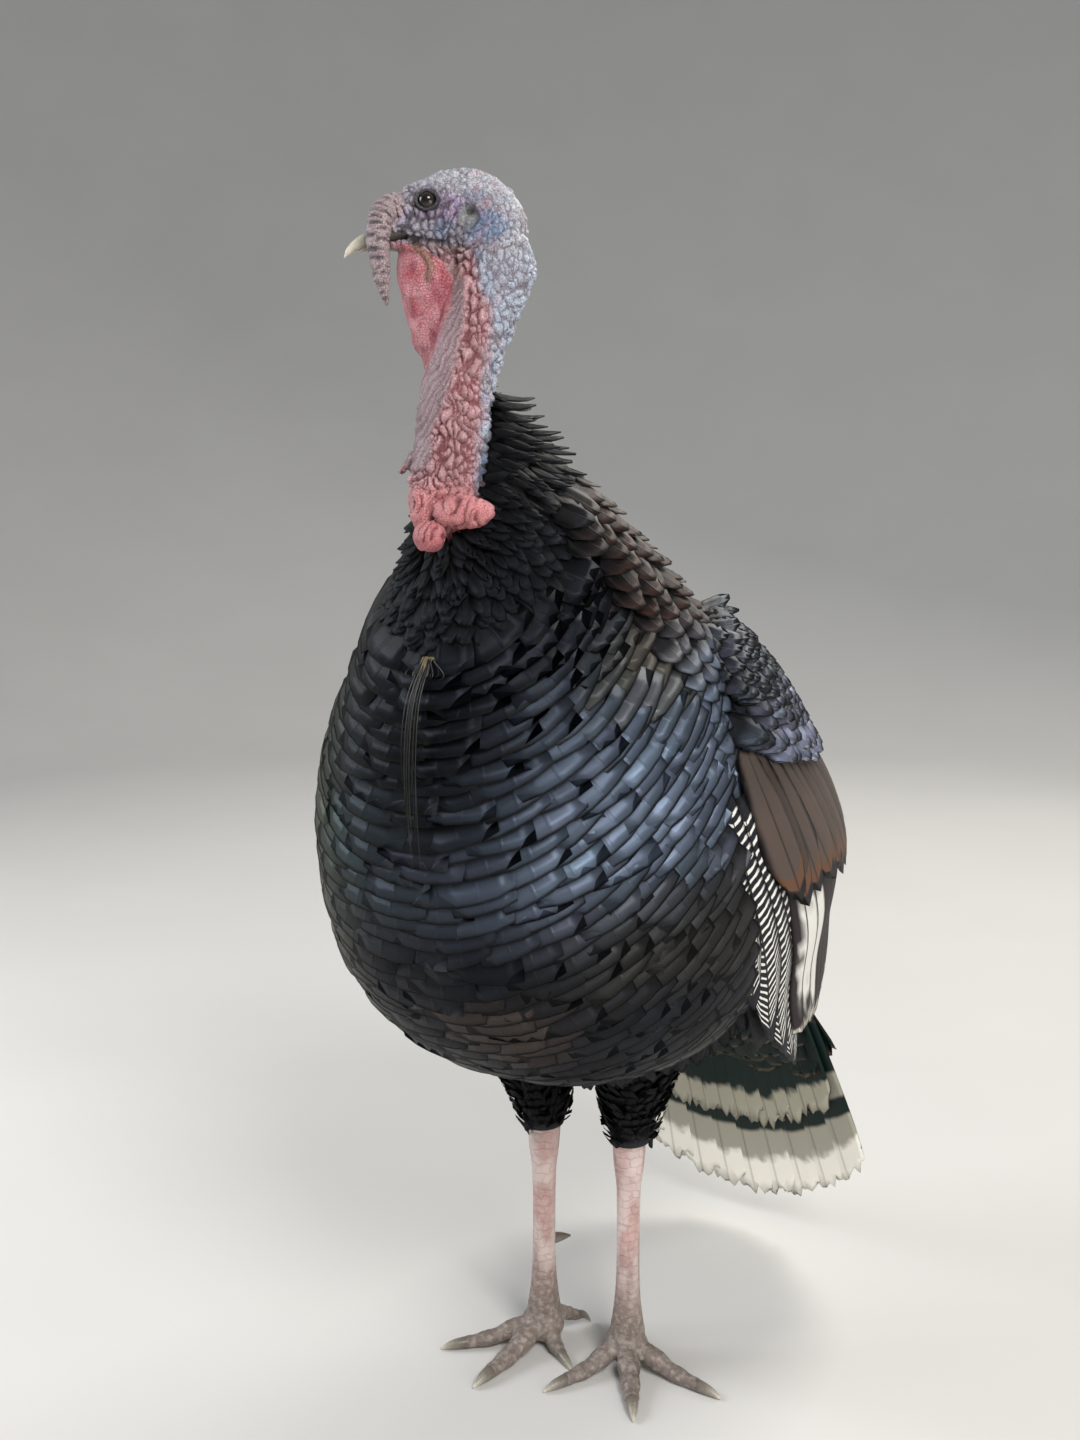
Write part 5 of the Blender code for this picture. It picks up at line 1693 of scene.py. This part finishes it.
class TurkeyHackles(bpy.types.Operator):
    """Pointed hackles in a ruff round the foot of the neck"""

    bl_idname = "turkey.hackles"
    bl_label = "Hackles"

    def execute(self, context):
        groups = []
        night = palette().night
        for low, high, gap, width, reach, lift, outline, seed in (
            (-0.25, 0.45, 0.0085, 0.0085, (0.018, 0.028), 0.013, pointed_tip, 400),
            (0.35, 1.3, 0.01, 0.0145, (0.024, 0.032), 0.009, round_tip, 410),
        ):
            u, a, _ = laid_rows(trunk_surface, low, high, 0, 2 * math.pi, gap, gap, seed, True, 0.3)
            rng = np.random.default_rng(seed + 1)
            nape = ease(-0.2, 0.9, np.sin(a)) * ease(1.3, 0.5, u)
            length = rng.uniform(*reach, len(u)) * (0.8 + 0.35 * nape)
            tone = varied(blend(night, markings(trunk_surface(u, a)), ease(0.6, 1.4, u)), seed)
            turn = rng.normal(0, 0.14, len(u))
            rise = rng.uniform(0.4, 1.1, len(u)) * lift * (0.45 + 0.8 * nape)
            groups.append(vanes(trunk_surface, u, a, length, width * (1 + 0.1 * nape), turn, outline, rise, 0.0008,
                                0.002 + 0.003 * nape, -0.006, grid=(6, 4), bake=trunk_bake, colour=tone))
        u, a, _ = laid_rows(neck_surface, 0.05, 1.5, -0.1, math.pi + 0.1, 0.007, 0.0065, 420, False, 0.35)
        rng = np.random.default_rng(421)
        behind = ease(0.15, 0.8, np.sin(a - 0.25)) * rng.uniform(0.3, 1.0, len(u))
        u, a = (x[behind > 0.35 + 0.28 * u] for x in (u, a))
        length, turn = -rng.uniform(0.012, 0.02, len(u)), rng.normal(0, 0.3, len(u))
        groups.append(vanes(neck_surface, u, a, length, 0.0048, turn, pointed_tip, rng.uniform(0.003, 0.01, len(u)),
                            0.0004, 0.003, -0.001, grid=(5, 3), side=-1, bake=lambda n, t: trunk_bake(-0.1 * n, t),
                            colour=night))
        coat_piece("feathers_hackle", "Hackle", "feather", groups)
        return {"FINISHED"}


class TurkeyWingCoverts(bpy.types.Operator):
    """Small slate feathers that cover the upper wing"""

    bl_idname = "turkey.wing_coverts"
    bl_label = "Wing coverts"

    def execute(self, context):
        c = palette()
        groups = []
        for side, sign in SIDES:
            surface, bake = down_wing(side, sign)
            for low, high, row_gap, gap, reach, wide, seed in (
                (0.0, 0.08, 0.011, 0.0135, 0.034, 0.02, 500),
                (0.088, 0.11, 0.0125, 0.0175, 0.044, 0.026, 510),
            ):
                u, a, _ = laid_rows(surface, low, high + REAR_DROP, -1.0, 1.0, row_gap, gap, seed, wobble=0.2)
                u = u + REAR_DROP * (a - 1)
                inside = (u > 0.004) & (u > low - 0.02)
                u, a = u[inside], a[inside]
                rng = np.random.default_rng(seed + sign)
                tone = blend(c.covert, c.lilac, ease(0.05, 0.1, u) * ease(-0.8, -0.1, a))
                tall, width = reach * rng.uniform(0.9, 1.1, len(u)), wide * rng.uniform(0.9, 1.1, len(u))
                turn, skew = rng.normal(0.3, 0.1, len(u)), rng.normal(0.1, 0.05, len(u))
                tone = varied(tone, seed + 2, 0.35, 0.04)
                groups.append(vanes(surface, u, a, tall, width, turn, round_tip, 0.0085, 0.001, 0.0012, -0.004,
                                    side=sign, bake=bake, colour=tone, roll=0.0012, skew=skew))
        coat_piece("feathers_wing_covert", "Wing covert", "feather", groups)
        return {"FINISHED"}


class TurkeyGreatCoverts(bpy.types.Operator):
    """Broad brown coverts across the middle of the wing, rusty then black at the end"""

    bl_idname = "turkey.great_coverts"
    bl_label = "Great coverts"

    def execute(self, context):
        c = palette()
        groups = []
        for side, sign in SIDES:
            surface, bake = down_wing(side, sign)
            rng = np.random.default_rng(600)
            count = 11
            a = np.linspace(-0.5, 0.7, count) + rng.uniform(-0.015, 0.015, count)
            tone = varied(blend(c.night, c.brown, ease(-0.75, -0.45, a)), 601, 0.28)
            tall, turn = 0.16 * rng.uniform(0.96, 1.03, count), rng.normal(0, 0.015, count)
            groups.append(vanes(surface, 0.118 + REAR_DROP * a, a, tall, 0.031, turn, round_tip, 0.006, 0.0016, 0.0,
                                -0.0035, side=sign, grid=(12, 5), fanned=True, bake=bake, colour=tone, roll=0.0012))
        coat_piece("feathers_great_covert", "Great covert", "feather", groups)
        return {"FINISHED"}


class TurkeyFlightFeathers(bpy.types.Operator):
    """Long flight feathers of the folded wings: barred ones in front, white-panelled ones behind"""

    bl_idname = "turkey.flight_feathers"
    bl_label = "Flight feathers"

    def execute(self, context):
        c = palette()
        barred = [self.barred(c, *down_wing(side, sign), sign) for side, sign in SIDES]
        coat_piece("feathers_flight_barred", "Barred flight feather", "barred_feather", barred,
                   "wing_left_flight", "wing_right_flight")
        panelled = [self.panelled(c, *down_wing(side, sign), sign) for side, sign in SIDES]
        coat_piece("feathers_flight_panelled", "Panelled flight feather", "barred_feather", panelled)
        return {"FINISHED"}

    def barred(self, c, surface, bake, sign):
        """Primaries stepping down the front edge of the wing to its point."""
        count = 5
        share = np.linspace(0, 1, count)
        u, a = 0.105 + 0.045 * share, -0.95 + 0.43 * share
        reach = 0.225 + 0.095 * share**0.7
        tone, inset = varied(np.broadcast_to(c.night, (count, 3)), 700), np.linspace(0.0005, -0.0065, count)
        return vanes(surface, u, a, reach, 0.027, 0.0, round_tip, 0.001, 0.001, 0.0, inset, side=sign, grid=(24, 5),
                     fanned=True, bake=bake, colour=tone, roll=0.0012)

    def panelled(self, c, surface, bake, sign):
        """Secondaries under the great coverts, the first ones with a white panel, their pale ends in steps."""
        count, n, m = 11, 20, 9
        a = np.linspace(-0.42, 0.95, count)
        end = 0.42 - 0.105 * np.maximum(a + 0.05, 0)
        start = np.interp(a, (0.6, 0.9), (0.19, 0.135))
        u = start + REAR_DROP * a
        s, v = np.meshgrid(np.linspace(0, 1, n), np.linspace(-1, 1, m), indexing="ij")
        ragged = np.random.default_rng(711).uniform(-0.25, 0.25, (count, n, m))
        white = ease(-0.55, -0.2, v + ragged) * ease(1.0, 0.85, v)
        white = white * ease(0.28, 0.4, s + 0.3 * ragged) * ease(0.92, 0.82, s + 0.3 * ragged)
        white = white * np.interp(a, (-0.27, -0.2), (1, 0))[:, None, None]
        tone = blend(varied(np.broadcast_to(c.quill, (count, 3)), 710), c.panel, white)
        inset = np.linspace(-0.003, -0.0065, count)
        return vanes(surface, u, a, end - start, 0.034, 0.0, square_tip, 0.002, 0.0012, 0.0, inset, side=sign,
                     grid=(n, m), fanned=True, bake=bake, colour=tone, roll=0.001, jitter=0.012)


class TurkeyTail(bpy.types.Operator):
    """Eighteen tail feathers, barred, with frayed cream ends, and fourteen shorter ones beneath"""

    bl_idname = "turkey.tail"
    bl_label = "Tail"

    def execute(self, context):
        tail = palette().tail
        dorsal, length = tail_axes()[2:]
        rng = np.random.default_rng(800)
        common = dict(fanned=True, bake=tail_bake, roll=0.0008, thick=0.0008)

        count = 18
        v = np.linspace(-0.93, 0.93, count)
        reach = length * (0.95 - 0.13 * v * v) * rng.uniform(0.985, 1.01, count)
        tone = varied(np.broadcast_to(tail, (count, 3)), 801, 0.1)
        inset = np.where(np.arange(count) % 2, 0.0012, -0.0008)
        feathers = vanes(tail_surface, np.full(count, 0.04), v, reach, 0.03, 0.0, tail_tip, 0.0, 0.0014, 0.0, inset,
                         grid=(26, 11), colour=tone, jitter=0.022, **common)
        coat_piece("feathers_tail", "Tail feather", "tail_feather", [feathers], "tail")

        def below(s, v):
            return tail_surface(s, v) - dorsal * 0.0035

        count = 14
        v = np.linspace(-0.9, 0.9, count) + rng.uniform(-0.02, 0.02, count)
        reach = length * (1 - 0.13 * v * v) * rng.uniform(0.665, 0.7, count)
        tone = varied(np.broadcast_to(tail, (count, 3)), 811, 0.1)
        feathers = vanes(below, np.full(count, 0.04), v, reach, 0.026, 0.0, tail_tip, 0.003, 0.0012, 0.0, -0.001,
                         grid=(20, 11), colour=tone, jitter=0.035, **common)
        coat_piece("feathers_tail_inner", "Inner tail feather", "tail_feather", [feathers])
        return {"FINISHED"}


def tail_tip(s, v):
    """A tail feather's broad end: its corners fall back a little by v squared."""
    return s - 0.055 * s**6 * v * v, v * (1 - 0.1 * s**10)


class TurkeyTailCoverts(bpy.types.Operator):
    """Coverts over and under the root of the tail, barred with pale ends"""

    bl_idname = "turkey.tail_coverts"
    bl_label = "Tail coverts"

    def execute(self, context):
        c = palette()
        for name, depth, end, side, reach in (("upper", 0.045, 0.6, 1, 0.08), ("under", 0.055, 0.5, -1, 0.058)):
            surface = tail_cover(depth, end, side)
            u, a, _ = laid_rows(surface, 0.02, end - 0.12, -0.93, 0.93, 0.018, 0.024, 900, wobble=0.3)
            rng = np.random.default_rng(901)
            tone = blend(c.slate if side > 0 else c.night, c.tail, ease(0.1, 0.3, u))
            length, turn = reach * rng.uniform(0.8, 1.1, len(u)), rng.normal(0, 0.08, len(u))
            feathers = vanes(surface, u, a, length, 0.036, turn, tail_tip, 0.006, 0.0015, 0.001, -0.004,
                             side=-side, grid=(8, 7), fanned=True, bake=tail_bake, colour=varied(tone, 902),
                             roll=0.0008, jitter=0.05)
            coat_piece(f"feathers_tail_{name}", "Tail covert", "tail_feather", [feathers], f"tail_coverts_{name}")
        return {"FINISHED"}


class TurkeyBeard(bpy.types.Operator):
    """The beard: a hanging bundle of stiff bristles, straw-coloured at the root"""

    bl_idname = "turkey.beard"
    bl_label = "Beard"

    def execute(self, context):
        """Every bristle is a four-sided tube: the beard's own line, moved aside by a spreading offset."""
        rng = np.random.default_rng(1000)
        count, rows = 46, 18
        s = np.linspace(0, 1, rows)
        line = stacked(sampled(BEARD_LINE, rows)[:3]) + SHIFT
        spread = rng.normal(0, 1, (count, 1, 2)) * (0.0024, 0.0012)
        wide = (0.8 + 1.0 * s - 0.9 * s**4)[None, :, None]
        cut = np.where(rng.uniform(0, 1, (count, 1)) < 0.4, 0.1, rng.uniform(0.4, 0.8, (count, 1)))
        path = np.stack([np.interp(s[None, :] * cut, s, line[:, k]) for k in range(3)], -1)
        path[..., :2] += spread * wide * np.where(cut < 0.2, 1.0 + 2.5 * s, 1.0)[..., None]
        points, quads = bristles(path, 0.0005 * (1 - 0.75 * s[None, :] ** 3))
        down = ease(0.05, 0.13, np.tile(np.repeat(s, 4), count))
        tone = blend((0.22, 0.17, 0.08), (0.004, 0.004, 0.004), down)
        settled(mesh_object("beard_bristles", points, quads, tone, [finish("Bristle")]), "feather", "beard")
        return {"FINISHED"}


def bristles(path, radius):
    """Four-sided tubes round many paths at once, closed at both ends by a quad."""
    count, rows = path.shape[:2]
    heading = unit(np.gradient(path, axis=1))
    aside = unit(np.cross(heading, (0.31, 0.95, 0.0)))
    other = np.cross(heading, aside)
    turn = turns(4)[:, None]
    ring = np.cos(turn) * aside[:, :, None, :] + np.sin(turn) * other[:, :, None, :]
    points = path[:, :, None, :] + ring * radius[:, :, None, None]
    last = (rows - 1) * 4
    quads = np.concatenate([ring_quads(rows, 4), ((3, 2, 1, 0), (last, last + 1, last + 2, last + 3))])
    return points.reshape(-1, 3), (np.arange(count)[:, None, None] * rows * 4 + quads).reshape(-1, 4)


# ------ stage
CAMERA_PLACE = (0.568, -0.946, 0.73)
CAMERA_DIP = 9.33
CAMERA_TURN = 33
FLOOR_HALF = 6.5
FLOOR_FLAT = 2.8
FLOOR_RISE = 0.35
FLOOR_POINTS = 121
# name, place, target, watts, width, colour
LIGHTS = (
    ("key", (1.6, -1.2, 2.2), (0, -0.1, 0.5), 54.0, 1.0, (1.0, 0.98, 0.95)),
    ("rim", (0.2, 2.2, 2.3), (0, -0.1, 0.5), 50.0, 1.2, (1.0, 0.96, 0.88)),
    ("low", (1.7, -0.7, 0.45), (0, 0.1, 0.2), 9.0, 0.9, (1.0, 0.98, 0.94)),
    ("fill", (-1.9, -0.9, 1.4), (0, -0.1, 0.5), 33.0, 1.2, (0.93, 0.96, 1.0)),
)


class TurkeyStage(bpy.types.Operator):
    """Pale floor, soft lights and the camera"""

    bl_idname = "turkey.stage"
    bl_label = "Stage"

    def execute(self, context):
        """A flat square of floor whose rim rises with the square of the distance, four area lights and the camera."""
        scene = context.scene
        scene.view_settings.view_transform = "Standard"
        world = bpy.data.worlds.new("Studio")
        scene.world = world
        world.use_nodes = True
        sky = world.node_tree.nodes["Background"].inputs
        sky["Color"].default_value, sky["Strength"].default_value = (0.86, 0.9, 0.96, 1), 0.42
        x, y = np.meshgrid(*[np.linspace(-FLOOR_HALF, FLOOR_HALF, FLOOR_POINTS)] * 2, indexing="ij")
        z = FLOOR_RISE * np.maximum(np.hypot(x, y) - FLOOR_FLAT, 0) ** 2
        quads = cell_quads(np.arange(x.size).reshape(x.shape))
        material, n = new_material("Pale floor", 0.85, (0.62, 0.61, 0.59))
        n.shade(Base_Color=n.mix(n.cloud(3.0, 3.0), (0.6, 0.59, 0.57, 1), (0.65, 0.64, 0.62, 1)))
        mesh_object("floor", np.stack((x, y, z), -1).reshape(-1, 3), quads, materials=[material])
        for name, place, target, energy, width, colour in LIGHTS:
            data = bpy.data.lights.new(name, "AREA")
            data.energy, data.size, data.color = energy, width, colour
            light = bpy.data.objects.new(name, data)
            light.location = place
            light.rotation_euler = (Vector(target) - Vector(place)).to_track_quat("-Z", "Y").to_euler()
            scene.collection.objects.link(light)
        data = bpy.data.cameras.new("camera")
        data.lens, data.sensor_width = 35.0, 36.0
        data.clip_start, data.clip_end = 0.05, 60.0
        camera = bpy.data.objects.new("camera", data)
        camera.location = (CAMERA_PLACE[0], CAMERA_PLACE[1] + SHIFT[1], CAMERA_PLACE[2])
        camera.rotation_euler = (math.radians(90 - CAMERA_DIP), 0, math.radians(CAMERA_TURN))
        scene.collection.objects.link(camera)
        scene.camera = camera
        return {"FINISHED"}


# ------ settings, panel and the run
def metres(name, words, default):
    """A length in metres."""
    return bpy.props.FloatProperty(name=name, description=words, default=default, min=0.001, max=0.2, precision=4,
                                   unit="LENGTH")


def hue(name, words, default):
    """A colour, red, green and blue from 0 to 1."""
    return bpy.props.FloatVectorProperty(name=name, description=words, default=default, min=0, max=1, size=3,
                                         subtype="COLOR")


class TurkeySizes(bpy.types.PropertyGroup):
    """Sizes of the coat"""

    breast_row: metres("Breast rows", "How far apart the rows of breast feathers lie", 0.0114)
    breast_gap: metres("Breast gap", "How far apart breast feathers stand in a row", 0.029)
    breast_width: metres("Breast width", "How wide a breast feather is", 0.049)


class TurkeyColours(bpy.types.PropertyGroup):
    """Colours of skin and coat"""

    # painted sheen: the iridescent steel blue of the breast
    breast: hue("Breast", "Steel blue of the breast", (0.135, 0.17, 0.24))
    bronze: hue("Bronze", "Olive bronze of the flanks", (0.13, 0.115, 0.065))
    # painted sheen: the iridescent teal of the breast's right side
    green: hue("Green", "Teal green of the breast's right side", (0.045, 0.075, 0.07))
    night: hue("Night", "Blue black of throat and belly", (0.011, 0.013, 0.018))
    copper: hue("Copper", "Copper of the upper back", (0.036, 0.018, 0.014))
    slate: hue("Slate", "Slate of the lower back and wing", (0.055, 0.066, 0.092))
    down: hue("Down", "Brown of the bare-looking patch of the belly", (0.078, 0.058, 0.05))
    umber: hue("Umber", "Brown grey low on the breast", (0.042, 0.04, 0.038))
    lilac: hue("Lilac", "Lilac grey of the lower wing coverts", (0.21, 0.23, 0.33))
    covert: hue("Covert", "Dark slate of the small wing coverts", (0.032, 0.039, 0.054))
    panel: hue("Panel", "White of the panel low on the wing", (0.8, 0.78, 0.73))
    quill: hue("Quill", "Purple brown of the secondaries", (0.016, 0.008, 0.01))
    brown: hue("Brown", "Grey brown of the great coverts", (0.082, 0.06, 0.05))
    tail: hue("Tail", "Dark green brown of the tail", (0.004, 0.016, 0.013))
    face: hue("Face", "Lilac grey of the face", (0.36, 0.34, 0.4))
    lilac_skin: hue("Lilac skin", "Lilac between eye and ear", (0.42, 0.32, 0.52))
    snood: hue("Snood", "Greyish pink of the snood", (0.38, 0.3, 0.3))
    curl: hue("Curl", "Brown of the loose fold at the mouth", (0.3, 0.18, 0.12))
    coral_pale: hue("Pale coral", "Paler patches of the throat", (0.56, 0.27, 0.3))
    shadow: hue("Shadow", "Dark of the creases of the head", (0.045, 0.038, 0.05))
    crown: hue("Crown", "Pale blue white of the crown", (0.5, 0.52, 0.57))
    ear: hue("Ear", "Blue round the ear", (0.15, 0.27, 0.46))
    nape: hue("Nape", "Pale blue of the back of the neck", (0.45, 0.51, 0.61))
    neck: hue("Neck", "Pink of the neck's knobs", (0.56, 0.33, 0.35))
    mauve: hue("Mauve", "Mauve of the neck's front", (0.33, 0.25, 0.27))
    coral: hue("Coral", "Coral of the throat", (0.49, 0.13, 0.15))
    salmon: hue("Salmon", "Salmon of the lobes", (0.61, 0.25, 0.255))
    # painted shade: the dark red painted into the crevices of the neck and lobes
    shade_red: hue("Red shade", "Red in the crevices", (0.17, 0.03, 0.036))
    shank: hue("Shank", "Pink of the shanks", (0.5, 0.31, 0.29))
    toe: hue("Toe", "Grey brown of the toes", (0.165, 0.13, 0.112))
    claw: hue("Claw", "Brown of the claws", (0.1, 0.08, 0.065))
    horn_tip: hue("Horn tip", "Pale horn of bill and claw tips", (0.62, 0.58, 0.48))
    bill_root: hue("Bill root", "Grey brown at the bill's root", (0.13, 0.12, 0.105))


ORDER = ("skin", "eyes", "bill", "claws", "breast_feathers", "mantle_feathers", "belly_tufts", "hackles",
         "wing_coverts", "great_coverts", "flight_feathers", "tail", "tail_coverts", "beard", "stage")


class TURKEY_PT_pieces(bpy.types.Panel):
    """Lists the pieces in the sidebar"""

    bl_label = "Turkey tom"
    bl_space_type = "VIEW_3D"
    bl_region_type = "UI"
    bl_category = "Turkey"

    def draw(self, context):
        for settings in (context.scene.turkey_sizes, context.scene.turkey_colours):
            column = self.layout.column()
            for label in settings.__annotations__:
                column.prop(settings, label)
        for piece in ORDER:
            self.layout.operator(f"turkey.{piece}")


CLASSES = (
    TurkeySizes, TurkeyColours, TurkeySkin, TurkeyEyes, TurkeyBill, TurkeyClaws, TurkeyBreastFeathers,
    TurkeyMantleFeathers, TurkeyBellyTufts, TurkeyHackles, TurkeyWingCoverts, TurkeyGreatCoverts,
    TurkeyFlightFeathers, TurkeyTail, TurkeyTailCoverts, TurkeyBeard, TurkeyStage, TURKEY_PT_pieces,
)


def register():
    for cls in CLASSES:
        bpy.utils.register_class(cls)
    bpy.types.Scene.turkey_sizes = bpy.props.PointerProperty(type=TurkeySizes)
    bpy.types.Scene.turkey_colours = bpy.props.PointerProperty(type=TurkeyColours)


def unregister():
    del bpy.types.Scene.turkey_colours
    del bpy.types.Scene.turkey_sizes
    for cls in reversed(CLASSES):
        bpy.utils.unregister_class(cls)


def main():
    register()
    for piece in ORDER:
        getattr(bpy.ops.turkey, piece)()


if __name__ == "__main__":
    main()
